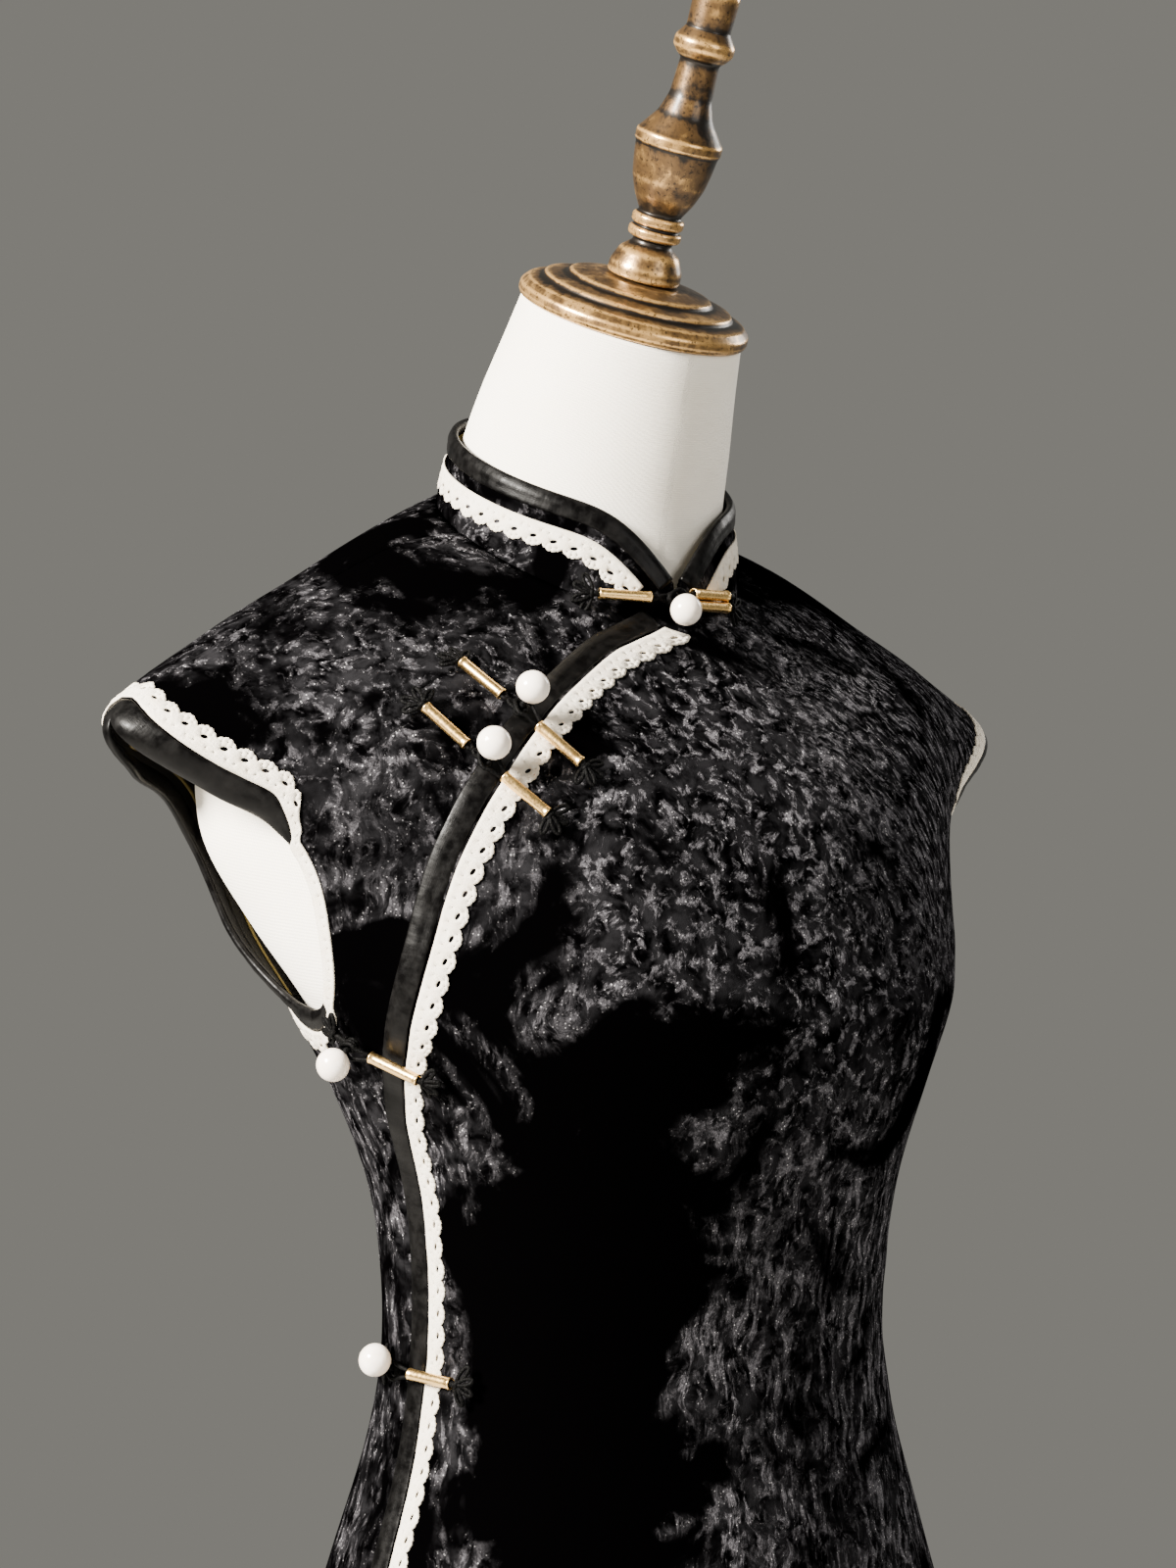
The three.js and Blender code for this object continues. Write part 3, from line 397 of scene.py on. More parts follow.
def pointed_ends(rows, sides):
    """Faces from the first and the last row to a point each, which follow all the rows."""
    first, end = rows * sides, (rows - 1) * sides
    faces = [(first, (j + 1) % sides, j) for j in range(sides)]
    return faces + [(first + 1, end + j, end + (j + 1) % sides) for j in range(sides)]


def flat_ends(rows, sides):
    return [tuple(range(sides - 1, -1, -1)), tuple(range((rows - 1) * sides, rows * sides))]


def circle(sides):
    """Cosines and sines of even turns, as columns."""
    angle = 2 * np.pi * np.arange(sides)[:, None] / sides
    return np.cos(angle), np.sin(angle)


def wall(outer, inner):
    """A wall between two grids: points, faces, and 0 for each outer or rim face and 1 for each inner one."""
    rows, columns = outer.shape[:2]
    i = np.arange(2 * rows * columns).reshape(2, rows, columns)
    o, n = i[0], i[1]

    def quads(a):
        return np.stack([a[:-1, :-1], a[:-1, 1:], a[1:, 1:], a[1:, :-1]], -1).reshape(-1, 4)

    rims = []
    for line, other in ((o[0], n[0]), (n[-1], o[-1]), (n[:, 0], o[:, 0]), (o[:, -1], n[:, -1])):
        rims.append(np.stack([line[:-1], other[:-1], other[1:], line[1:]], -1))
    faces = np.concatenate([quads(o), *rims, quads(n)[:, ::-1]])
    looks = np.zeros(len(faces), int)
    looks[-(rows - 1) * (columns - 1):] = 1
    points = np.concatenate([outer.reshape(-1, 3), inner.reshape(-1, 3)])
    volume = signed_volume(points, faces.tolist())
    return points, (faces if volume > 0 else faces[:, ::-1]).tolist(), looks


def tube(path, radius, sides=8, closed=False):
    """Points and faces of a round cord through a path."""
    path = np.asarray(path, float)
    tangent = unit(np.roll(path, -1, 0) - np.roll(path, 1, 0) if closed else np.gradient(path, axis=0))
    c, s = circle(sides)
    up = np.array([0.0, 0.0, 1.0])
    if abs(tangent[0] @ up) > 0.9:
        up = np.array([1.0, 0.0, 0.0])
    rings = []
    for point, forward in zip(path, tangent):
        up = unit(up - forward * (up @ forward))
        rings.append(point + radius * (c * np.cross(forward, up) + s * up))
    points = np.concatenate(rings)
    faces = strips(len(path), sides, closed)
    if not closed:
        points = np.concatenate([points, path[:1], path[-1:]])
        faces += pointed_ends(len(path), sides)
    return points, outward(points, faces)


def gathered(*parts):
    """Several sets of points and faces as one."""
    points, faces, count = [], [], 0
    for part_points, part_faces in parts:
        points.append(part_points)
        faces += [tuple(i + count for i in face) for face in part_faces]
        count += len(part_points)
    return np.concatenate(points), faces


def curve_through(points, count, closed=False):
    """Evenly placed points on a smooth curve through a few."""
    points = np.asarray(points, float)
    n = len(points)
    t = np.linspace(0, n if closed else n - 1, count, endpoint=not closed)
    i = np.minimum(np.floor(t).astype(int), n - 1 if closed else n - 2)
    f = (t - i)[:, None]
    a, b, c, d = (points[k % n if closed else np.clip(k, 0, n - 1)] for k in (i - 1, i, i + 1, i + 2))
    return b + 0.5 * f * (c - a + f * (2 * a - 5 * b + 4 * c - d + f * (3 * (b - c) + d - a)))


def lathe(profile, sides, bend=0.9):
    """A turned solid. Each corner of the profile, radius and height, is softened by bend."""
    profile = np.asarray(profile, float)
    fine = [profile[0]]
    wear = [0.5]
    for before, corner, after in zip(profile[:-2], profile[1:-1], profile[2:]):
        a, b = before - corner, after - corner
        reach = min(bend, 0.35 * np.linalg.norm(a), 0.35 * np.linalg.norm(b))
        start, end = corner + unit(a) * reach, corner + unit(b) * reach
        bulge = np.cross(-a, b) / (np.linalg.norm(a) * np.linalg.norm(b))
        for t in (0, 0.25, 0.5, 0.75, 1):
            fine.append((1 - t) ** 2 * start + 2 * t * (1 - t) * corner + t * t * end)
            wear.append(0.5 + 0.5 * bulge * (1 - abs(2 * t - 1) * 0.6))
    fine.append(profile[-1])
    wear.append(0.5)
    extra, extra_wear = [fine[0]], [wear[0]]
    for (a, wa), (b, wb) in zip(zip(fine, wear), zip(fine[1:], wear[1:])):
        pieces = max(1, int(np.linalg.norm(b - a) / 1.6))
        for k in range(1, pieces + 1):
            t = k / pieces
            fade = np.exp(-min(t, 1 - t) * np.linalg.norm(b - a) / 2.2)
            extra.append(a + (b - a) * t)
            extra_wear.append(0.5 + ((wa + (wb - wa) * t) - 0.5) * fade)
    heights = np.array(extra)[:, 1]
    c, s = circle(sides)
    rings = [np.hstack([r * s, -r * c, np.full_like(c, h)]) for r, h in extra[1:-1]]
    points = np.concatenate([*rings, [[0, 0, heights[0]], [0, 0, heights[-1]]]])
    faces = strips(len(rings), sides) + pointed_ends(len(rings), sides)
    worn = np.concatenate([np.repeat(extra_wear[1:-1], sides), [0.5, 0.5]])
    return points, outward(points, faces), worn


# Looks

def add(tree, kind, inputs=None, **settings):
    node = tree.nodes.new("ShaderNode" + kind)
    for key, value in settings.items():
        setattr(node, key, value)
    for key, value in (inputs or {}).items():
        if isinstance(value, bpy.types.NodeSocket):
            tree.links.new(value, node.inputs[key])
        else:
            node.inputs[key].default_value = value
    return node


class Look:
    """A material and short ways to add to it."""

    def __init__(self, name, **shader):
        self.material = bpy.data.materials.new(name)
        self.material.use_nodes = True
        self.tree = self.material.node_tree
        self.shader = self.tree.nodes["Principled BSDF"]
        for key, value in shader.items():
            self.shader.inputs[key.replace("_", " ").title().replace("Ior", "IOR")].default_value = value
        self.place = add(self.tree, "TexCoord").outputs["Object"]
        self.cut = add(self.tree, "UVMap", uv_map="cut").outputs[0]

    def stretched(self, source, scale, turn=(0, 0, 0)):
        return add(self.tree, "Mapping", {"Vector": source, "Scale": scale, "Rotation": turn}).outputs[0]

    def noise(self, source, scale, detail=2.0, roughness=0.5, distortion=0.0):
        inputs = {"Vector": source, "Scale": scale, "Detail": detail, "Roughness": roughness}
        return add(self.tree, "TexNoise", {**inputs, "Distortion": distortion}).outputs[0]

    def math(self, operation, a, b=0.0):
        return add(self.tree, "Math", {0: a, 1: b}, operation=operation).outputs[0]

    def times(self, first, *others):
        for other in others:
            first = self.math("MULTIPLY", first, other)
        return first

    def plus(self, a, b):
        return self.math("ADD", a, b)

    def minus(self, a, b):
        return self.math("SUBTRACT", a, b)

    def wave(self, source, length):
        """A ripple with one crest for each length along a source, in metres."""
        return self.math("SINE", self.times(source, 2 * math.pi / length))

    def blend(self, share, a, b):
        return self.plus(self.times(a, self.minus(1.0, share)), self.times(b, share))

    def ramp(self, value, low, high, to_low=0.0, to_high=1.0):
        inputs = {"Value": value, "From Min": low, "From Max": high, "To Min": to_low, "To Max": to_high}
        return add(self.tree, "MapRange", inputs, interpolation_type="SMOOTHSTEP").outputs[0]

    def mix(self, factor, a, b):
        return add(self.tree, "Mix", {0: factor, 6: a, 7: b}, data_type="RGBA").outputs[2]

    def split(self, source):
        return add(self.tree, "SeparateXYZ", {0: source}).outputs

    def bump(self, height, distance, strength=1.0, after=None):
        inputs = {"Height": height, "Distance": distance, "Strength": strength}
        if after is not None:
            inputs["Normal"] = after
        return add(self.tree, "Bump", inputs).outputs[0]

    def finish(self, **sockets):
        for key, value in sockets.items():
            self.tree.links.new(value, self.shader.inputs[key.replace("_", " ").title()])
        return self.material


def rgb(red, green, blue):
    return (red, green, blue, 1)


def velvet_look():
    """Crushed velvet: black pile with clusters and streaks of silver-grey where the pile leans, its crushed
    pattern with painted sheen.
    """
    look = Look("crushed_velvet", roughness=0.6, specular_ior_level=0.0)
    x, y, z = look.split(look.place)
    wander = add(look.tree, "TexNoise", {"Vector": look.place, "Scale": 45, "Detail": 2}).outputs["Color"]
    wander = add(look.tree, "VectorMath", {0: wander, "Scale": 0.014}, operation="SCALE").outputs[0]
    bent = add(look.tree, "VectorMath", {0: look.place, 1: wander}).outputs[0]
    clusters = look.ramp(look.noise(bent, 190, 5, 0.66, 0.35), 0.495, 0.65)
    diagonal = look.stretched(bent, (1, 1, 1), (0, math.radians(32), 0))
    streaks = look.ramp(look.noise(look.stretched(diagonal, (360, 360, 120)), 1, 4, 0.65, 0.3), 0.485, 0.62)
    upright = look.ramp(look.noise(look.stretched(bent, (240, 240, 70)), 1, 4, 0.64, 0.3), 0.48, 0.64)
    left_chest = look.times(look.ramp(x, 0.0, 0.1), look.ramp(z, 1.17, 1.25))
    side = look.times(look.ramp(x, -0.085, -0.115), look.ramp(z, 1.28, 1.21))
    lower = look.math("MAXIMUM", look.times(look.ramp(z, 1.17, 1.09), 0.75), side)
    flecks = look.blend(lower, look.blend(left_chest, clusters, streaks), upright)
    # Painted shade by place: fewer flecks down the right front beside the bust and waist, high near the neck,
    # under the right arm and on the right cap sleeve; painted sheen by place: more flecks on the chest and low on
    # the dress's left.
    bent_x = look.plus(x, look.times(look.minus(look.noise(look.place, 11, 3), 0.5), 0.11))
    beside = look.times(look.ramp(x, -0.115, -0.095), look.ramp(bent_x, -0.035, -0.08))
    beside = look.times(beside, look.ramp(z, 0.74, 0.84), look.ramp(z, 1.22, 1.12), look.ramp(y, 0.0, -0.04))
    chest = look.times(look.ramp(z, 1.1, 1.2), look.ramp(z, 1.36, 1.3), look.ramp(x, -0.05, 0.0, 0.03, 0.09))
    underarm = look.times(look.ramp(x, -0.095, -0.12), look.ramp(z, 1.31, 1.26), look.ramp(z, 1.13, 1.18))
    cap = look.times(look.ramp(x, -0.12, -0.17), look.ramp(z, 1.27, 1.3))
    low_right = look.times(look.ramp(z, 1.13, 1.03), look.ramp(bent_x, -0.045, 0.0))
    painted_shade_and_sheen_by_place = look.minus(look.times(beside, 0.32), chest)
    for place, share in ((look.ramp(z, 1.3, 1.37), 0.035), (underarm, 0.1), (cap, 0.02), (low_right, -0.08)):
        painted_shade_and_sheen_by_place = look.plus(painted_shade_and_sheen_by_place, look.times(place, share))
    patch = look.minus(look.noise(look.place, 17, 3.5, 0.6, 1.0), painted_shade_and_sheen_by_place)
    patch = look.ramp(patch, 0.405, 0.585)
    grain = look.ramp(look.noise(look.place, 900, 2, 0.7), 0.36, 0.66, 0.4, 1)
    seeds = add(look.tree, "TexVoronoi", {"Vector": look.place, "Scale": 820})
    chance = look.ramp(look.split(seeds.outputs["Color"])[0], 0.62, 0.72)
    specks = look.times(look.ramp(seeds.outputs[0], 0.34, 0.1), chance)
    fallen = look.times(flecks, patch)
    # Painted sheen: the flecks' grey stands for light caught by the leaning pile, painted dimmer towards the
    # dress's right (-X) as painted shade on that side.
    painted_sheen_flecks = look.times(fallen, grain, look.ramp(x, -0.17, 0.05, 0.45, 1.1))
    # Painted sheen: a faint dark grey between the flecks inside the patches, black elsewhere.
    painted_sheen_haze = look.times(patch, look.ramp(look.noise(bent, 120, 3, 0.6), 0.35, 0.7))
    colour = look.mix(painted_sheen_haze, rgb(0.0003, 0.00025, 0.0003), rgb(0.0105, 0.0102, 0.0112))
    colour = look.mix(painted_sheen_flecks, colour, rgb(0.13, 0.125, 0.137))
    # Painted glints: rare near-white specks where the flecks fall.
    colour = look.mix(look.times(fallen, specks, 0.85), colour, rgb(0.7, 0.68, 0.7))
    pile = look.bump(look.noise(look.place, 2100, 1.5, 0.7), 0.00022, 0.5)
    crushed = look.bump(fallen, 0.0012, 0.5, pile)
    rough = look.ramp(painted_sheen_flecks, 0, 1, 0.75, 0.42)
    return look.finish(base_color=colour, roughness=rough, normal=crushed)


def satin_look():
    """Black satin with a soft mottled sheen."""
    look = Look("satin", roughness=0.4, specular_ior_level=0.09)
    cloudy = look.noise(look.place, 130, 3, 0.6)
    colour = look.mix(look.ramp(cloudy, 0.35, 0.7), rgb(0.0006, 0.0005, 0.0005), rgb(0.0035, 0.0033, 0.0032))
    rough = look.ramp(look.noise(look.place, 260, 3, 0.6), 0.3, 0.7, 0.28, 0.46)
    threads = look.noise(look.stretched(look.cut, (300, 3200, 1)), 1, 2, 0.6)
    puckers = look.noise(look.stretched(look.cut, (260, 90, 1)), 1, 2, 0.5)
    puckered = look.bump(puckers, 0.0006, 0.35, look.bump(threads, 0.00012, 0.5))
    return look.finish(base_color=colour, roughness=rough, normal=puckered)


def lace_look():
    """Cream cotton thread worked close, with fine crossing threads."""
    look = Look("cotton_lace", roughness=0.86, sheen_weight=0.12, sheen_roughness=0.5, specular_ior_level=0.3)
    u, v, _ = look.split(look.cut)
    weave = look.math("MAXIMUM", look.wave(look.plus(u, v), 0.00062), look.wave(look.minus(u, v), 0.00062))
    height = look.plus(look.times(weave, 0.5), look.noise(look.place, 1500, 2, 0.6))
    patchy = look.ramp(look.noise(look.place, 160, 3, 0.6), 0.3, 0.7)
    colour = look.mix(patchy, rgb(0.86, 0.765, 0.62), rgb(0.93, 0.86, 0.74))
    shade = look.times(look.minus(1.0, look.ramp(weave, -0.7, 0.6)), 0.55)
    colour = look.mix(shade, colour, rgb(0.55, 0.47, 0.36))
    return look.finish(base_color=colour, normal=look.bump(height, 0.00028, 0.8))


def cord_look():
    """Black braided cord."""
    look = Look("braided_cord", roughness=0.6, specular_ior_level=0.04)
    inputs = {"Vector": look.place, "Scale": 1300, "Randomness": 0.6}
    braid = add(look.tree, "TexVoronoi", inputs, feature="SMOOTH_F1").outputs[0]
    colour = look.mix(look.ramp(braid, 0.1, 0.6), rgb(0.004, 0.0038, 0.0038), rgb(0.0006, 0.0006, 0.0006))
    return look.finish(base_color=colour, normal=look.bump(braid, 0.0004, 0.7))


def pearl_look():
    """A pearl with soft cloudy bands under a clear coat."""
    sheen = {"sheen_weight": 0.15, "sheen_tint": rgb(1.0, 0.86, 0.84)}
    look = Look("pearl", coat_weight=0.45, coat_roughness=0.12, **sheen)
    cloud = look.noise(look.place, 120, 3, 0.5, 0.6)
    colour = look.mix(look.ramp(cloud, 0.35, 0.68), rgb(0.92, 0.80, 0.68), rgb(0.97, 0.89, 0.79))
    rough = look.ramp(look.noise(look.place, 500, 2, 0.6), 0.3, 0.7, 0.15, 0.27)
    return look.finish(base_color=colour, roughness=rough, normal=look.bump(cloud, 0.0002, 0.3))


def gold_look():
    """Gilt brass with faint scratches along it."""
    look = Look("gold_bead", metallic=1.0, roughness=0.22)
    tarnish = look.ramp(look.noise(look.place, 260, 3, 0.6), 0.55, 0.85)
    colour = look.mix(tarnish, rgb(1.0, 0.66, 0.25), rgb(0.8, 0.45, 0.13))
    rough = look.ramp(look.noise(look.place, 900, 2, 0.6), 0.3, 0.75, 0.24, 0.36)
    scratches = look.noise(look.stretched(look.place, (900, 900, 2600)), 1, 2, 0.6)
    return look.finish(base_color=colour, roughness=rough, normal=look.bump(scratches, 0.00005, 0.25))


def form_look():
    """Cream cotton jersey drawn tight over the form."""
    look = Look("form_jersey", roughness=0.82, sheen_weight=0.1, sheen_roughness=0.5, specular_ior_level=0.3)
    u, v, _ = look.split(look.cut)
    knit = look.plus(look.times(look.wave(u, 0.0011), 0.5), look.times(look.wave(v, 0.0009), 0.35))
    fuzz = look.noise(look.place, 1400, 2, 0.6)
    stain = look.ramp(look.noise(look.place, 14, 3, 0.55), 0.35, 0.7)
    colour = look.mix(stain, rgb(0.87, 0.81, 0.70), rgb(0.92, 0.875, 0.785))
    colour = look.mix(look.ramp(fuzz, 0.3, 0.75, 0, 0.12), colour, rgb(0.70, 0.62, 0.50))
    return look.finish(base_color=colour, normal=look.bump(look.plus(knit, fuzz), 0.00016, 0.5))


def bronze_look(name, shine):
    """Antique bronze paint, dark in the hollows and rubbed to gold on what stands out."""
    look = Look(name, metallic=0.72, roughness=0.36, coat_weight=0.25, coat_roughness=0.2)
    worn = add(look.tree, "Attribute", attribute_name="wear").outputs["Fac"]
    blotch = look.noise(look.place, 75, 4, 0.62, 0.5)
    grain = look.noise(look.stretched(look.place, (260, 260, 90)), 1, 4, 0.7)
    specks = look.ramp(look.noise(look.place, 620, 3, 0.7), 0.53, 0.68)
    level = look.plus(look.times(look.minus(worn, 0.5), 1.9), blotch)
    level = look.plus(level, look.times(look.minus(grain, 0.5), 0.5))
    colour = look.mix(look.ramp(level, 0.28, 0.56), rgb(0.007, 0.0045, 0.0025), rgb(0.10, 0.055, 0.02))
    colour = look.mix(look.ramp(level, 0.55, 0.95), colour, rgb(0.62, 0.36, 0.12))
    colour = look.mix(look.times(specks, 0.85), colour, rgb(0.01, 0.006, 0.003))
    rough = look.ramp(level, 0.2, 0.9, shine + 0.2, shine)
    dents = look.bump(look.noise(look.place, 240, 3, 0.6), 0.0005, 0.3)
    return look.finish(base_color=colour, roughness=rough, normal=dents)


def twill_look(name, dark, light):
    """Fine twill, as the black lining and the olive piping inside the armholes and the collar."""
    look = Look(name, roughness=0.6, specular_ior_level=0.2)
    tone = look.noise(look.place, 60, 3, 0.6)
    colour = look.mix(look.ramp(tone, 0.3, 0.7), dark, light)
    u, v, _ = look.split(look.place)
    twill = look.wave(look.plus(u, v), 0.0009)
    return look.finish(base_color=colour, normal=look.bump(twill, 0.0001, 0.4))


LOOKS = {
    "velvet": velvet_look(),
    "satin": satin_look(),
    "lace": lace_look(),
    "cord": cord_look(),
    "pearl": pearl_look(),
    "gold": gold_look(),
    "form": form_look(),
    "bronze": bronze_look("antique_bronze", 0.27),
    "stand": bronze_look("stand_bronze", 0.34),
    "lining": twill_look("lining", rgb(0.004, 0.0037, 0.003), rgb(0.009, 0.008, 0.006)),
    "olive": twill_look("olive_twill", rgb(0.11, 0.082, 0.022), rgb(0.19, 0.145, 0.045)),
}


# Velvet panels

def path_length(points):
    return np.concatenate([[0], np.cumsum(np.linalg.norm(np.diff(points, axis=0), axis=-1))])


def even(values, points, spacing):
    """Values again, at even steps of the length along their points."""
    length = path_length(points)
    at = np.linspace(0, length[-1], max(2, int(length[-1] / spacing) + 1))
    return np.interp(at, length, values)


PANEL_STEP = 4.6
EDGE_STEPS = np.array([0, 0.7, 1.7, 3.2])
SEAM_DIP = {"depth": 0.75, "width": 1.5}
ARMHOLE_LEVELS = [4.97, 5, 5.01, 5.03, 5.06, 5.1, 5.15, 9.82, 9.88, 9.92, 9.95, 9.97, 9.985, 9.995, 10, 10.02]


def panel_levels(last):
    """Levels of a panel's rows, with more of them at the two ends of the armhole."""
    raw = np.linspace(0, last, 1200)
    levels = even(raw, cloth(raw, 45.0), PANEL_STEP)
    return np.unique(np.round(np.concatenate([levels, ARMHOLE_LEVELS]), 4))


def panel_grid(levels, start, end):
    """The turns of a panel's points, row by row, closer together at its edges, and how far in each lies."""
    share = np.linspace(0, 1, 61)
    turns = start[:, None] + (end - start)[:, None] * share
    widths = np.array([path_length(row)[-1] for row in cloth(levels[:, None], turns)])
    near = EDGE_STEPS / widths[:, None]
    last = near[:, -1:]
    inner = last + (1 - 2 * last) * np.linspace(0, 1, int(widths.max() / PANEL_STEP))
    shares = np.concatenate([near[:, :-1], inner, 1 - near[:, -2::-1]], 1)
    inset = np.minimum(shares, 1 - shares) * widths[:, None]
    return start[:, None] + (end - start)[:, None] * shares, shares, inset, widths


def panel(name, node, levels, start, end, seams, thickness=VELVET, depth=None):
    """A velvet panel between two edges. seams says which of them are sewn, and depth how far it lies under."""
    turns, shares, inset, widths = panel_grid(levels, start, end)
    grid = np.broadcast_to(levels[:, None], turns.shape)
    lift = -depth(grid, turns) if depth else np.zeros_like(turns)
    for is_seam, here in zip(seams, (shares < 0.5, shares >= 0.5)):
        if is_seam:
            lift = lift - np.where(here, SEAM_DIP["depth"] * np.exp(-((inset / SEAM_DIP["width"]) ** 2)), 0)
    outer = seated(cloth, grid, turns, lift)
    inner = seated(cloth, grid, turns, lift - thickness)
    points, faces, looks = wall(outer, inner)
    length = path_length(cloth(levels, 45.0))
    cut = np.stack(np.broadcast_arrays(shares * widths[:, None], length[:, None]), -1).reshape(-1, 2)
    cut = np.concatenate([cut, cut])
    return piece(name, "black_velvet", [node], ["velvet", "lining"], points, faces, cut, looks)


LEVELS = panel_levels(HEM)
UPPER = LEVELS[LEVELS <= SLIT["level"]]
FRONT_SIDES = front_edge(LEVELS), front_side(LEVELS)
BACK_SIDES = back_side(LEVELS), 360 - back_side(LEVELS)
RIGHT_SIDES = -front_side(UPPER), front_edge(UPPER) + UNDERLAP["hidden"]
front = panel("front_panel_velvet", "front_panel", LEVELS, *FRONT_SIDES, (False, True))
back = panel("back_panel_velvet", "back_panel", LEVELS, *BACK_SIDES, (True, True))
right_front = panel(
    "right_front_velvet",
    "right_front_underlap",
    UPPER,
    *RIGHT_SIDES,
    (True, False),
    UNDERLAP["thickness"],
    underlap_depth,
)


# Collar

def collar_height(turn):
    """The share of the full height that the collar has, which falls in a V towards the front."""
    vee, power, share, ease = COLLAR_FRONT.values()
    short = 1 - np.minimum(turn, 360 - turn) / vee
    from_front = np.clip(1 - np.log1p(np.exp(ease * short)) / ease, 0, 1)
    return share + (1 - share) * (1 - (1 - from_front) ** power)


COLLAR_RUNS = ((1.5, 34, 46), (34, 326, 150), (326, 358.5, 46))
COLLAR_TURNS = np.unique(np.concatenate([np.linspace(*run) for run in COLLAR_RUNS]))
COLLAR_TUCK = {"down": 0.03, "down_over": 0.05, "inward": 0.7, "inward_over": 0.06}


def collar_panel():
    """The collar's cloth, tucked in and down at the neck seam."""
    shares = np.linspace(0.0, 1.0, 14)[:, None]
    down = COLLAR_TUCK["down"] * np.exp(-((shares / COLLAR_TUCK["down_over"]) ** 2))
    rise = shares * collar_height(COLLAR_TURNS) - down
    turns = np.broadcast_to(COLLAR_TURNS, rise.shape)
    inward = -COLLAR_TUCK["inward"] * np.exp(-((shares / COLLAR_TUCK["inward_over"]) ** 2))
    tucked = np.broadcast_to(inward, rise.shape)
    outer = seated(collar, rise, turns, tucked)
    inner = seated(collar, rise, turns, tucked - COLLAR["thickness"])
    points, faces, looks = wall(outer, inner)
    cut = np.stack([turns * 1.1, rise * 40], -1).reshape(-1, 2)
    cut = np.concatenate([cut, cut])
    return piece("collar_velvet", "black_velvet", ["collar"], ["velvet", "olive"], points, faces, cut, looks)


collar_piece = collar_panel()


# Trim: bands laid on the cloth from an edge

class Band:
    """A band of cloth beside an edge: points and normals at even distances from the edge, at each station."""

    STEP = 1.5

    def __init__(self, surface, p, q, heading, reach, depth=None, is_ring=False):
        self.is_ring = is_ring
        count = int(np.ceil(reach / self.STEP)) + 1
        rows = []
        for k in range(count):
            if k:
                p, q = walk(surface, p, q, heading, self.STEP)
            _, _, _, normal = frame_on(surface, p, q)
            heading = unit(heading - normal * np.sum(heading * normal, -1, keepdims=True))
            lift = -depth(p, q) if depth else np.zeros_like(p)
            rows.append((seated(surface, p, q, lift), normal, p))
        self.points, self.normals, self.places = (np.stack([row[k] for row in rows], 1) for k in range(3))
        if is_ring:
            self.points, self.normals = (np.concatenate([a, a[:1]]) for a in (self.points, self.normals))
        self.stations = len(self.points)

    def at(self, station, distance, height):
        station, distance, height = (a * 1.0 for a in np.broadcast_arrays(station, distance, height))
        i = np.clip(np.floor(station).astype(int), 0, self.stations - 2)
        j = np.clip(np.floor(distance / self.STEP).astype(int), 0, self.points.shape[1] - 2)
        f, g = (station - i)[..., None], (distance / self.STEP - j)[..., None]

        def between(a):
            before, after = (a[k, j] * (1 - g) + a[k, j + 1] * g for k in (i, i + 1))
            return before * (1 - f) + after * f

        return between(self.points) + unit(between(self.normals)) * height[..., None]

    def length_at(self, distance):
        return path_length(self.at(np.arange(self.stations), distance, 0))

    def along(self, station, values):
        """Values given as one number or one for each station, at any stations."""
        return np.interp(station, np.arange(self.stations), np.broadcast_to(values, self.stations))


# The binding's section, as a share of its width and a height, from its sewn edge over the top, round the edge
# of the cloth and back inside.
BINDING_SECTION = [
    (1.0, 0.06), (0.985, 0.5), (0.94, 0.85), (0.8, 1.1), (0.62, 1.25), (0.48, 1.5), (0.36, 1.62),
    (0.22, 1.5), (0.08, 1.15), (-0.04, 0.7), (-0.1, 0.1), (-0.11, -0.8), (-0.07, -1.6), (0.05, -2.15),
    (0.4, -2.2), (0.42, -1.75), (0.1, -1.65), (-0.03, -1.55), (-0.03, -0.7), (-0.02, 0.1), (0.4, 0.1),
    (0.8, 0.08),
]


# The piping's section, as a share of its width and a height.
PIPING_SECTION = [(0, -1.75), (1, -1.75), (1, -2.2), (0.5, -2.5), (0, -2.2)]


def ripple(s, *waves):
    """Waves along a length, each given as its period, its height and its phase."""
    return sum(size * np.sin(2 * np.pi * s / period + phase) for period, size, phase in waves)


def beyond(length, at):
    """Stations at some lengths along a band, also a little before its start."""
    return np.interp(at, length, np.arange(len(length))) + np.minimum(at, 0) / (length[1] - length[0])


def binding(name, node, band, width, spacing=1.7, inner=1.0, fullness=1.0, ahead=0, inside=1.0):
    """A padded satin binding round the cloth's edge. width and fullness may be one for each station."""
    length = band.length_at(3)
    count = int(length[-1] / spacing)
    at = np.linspace(-ahead, length[-1], count + 1)[: count if band.is_ring else count + 1]
    station = beyond(length, at)
    width, fullness = (band.along(station, values)[:, None] for values in (width, fullness))
    share, height = curve_through(BINDING_SECTION, 42, closed=True).T
    puckers = 1 + ripple(at, (11.3, 0.035, 0), (4.7, 0.03, 1.3), (23.1, 0.04, 2.1))[:, None]
    slim = np.clip(width / 6, 0.2, 1)
    over = np.clip(height, 0, None) * puckers * slim * fullness
    under = np.clip(height, None, 0) * inner
    tuck = ripple(at, (3.1, 0.1, 0), (7.9, 0.08, 0.6))[:, None] * np.clip(share * 4 - 3, 0, 1)
    across = np.where(share < 0, share * BINDING["width"] * slim, share * width) + tuck * slim
    across = np.where((height < -1) & (share > 0), share * BINDING["width"] * inside, across)
    points = band.at(np.broadcast_to(station[:, None], across.shape), across, over + under).reshape(-1, 3)
    faces = strips(*across.shape, band.is_ring) + ([] if band.is_ring else flat_ends(*across.shape))
    cut = np.stack([np.broadcast_to(at[:, None], across.shape), across], -1).reshape(-1, 2)
    return piece(name, "black_satin", [node], ["satin"], points, outward(points, faces), cut)


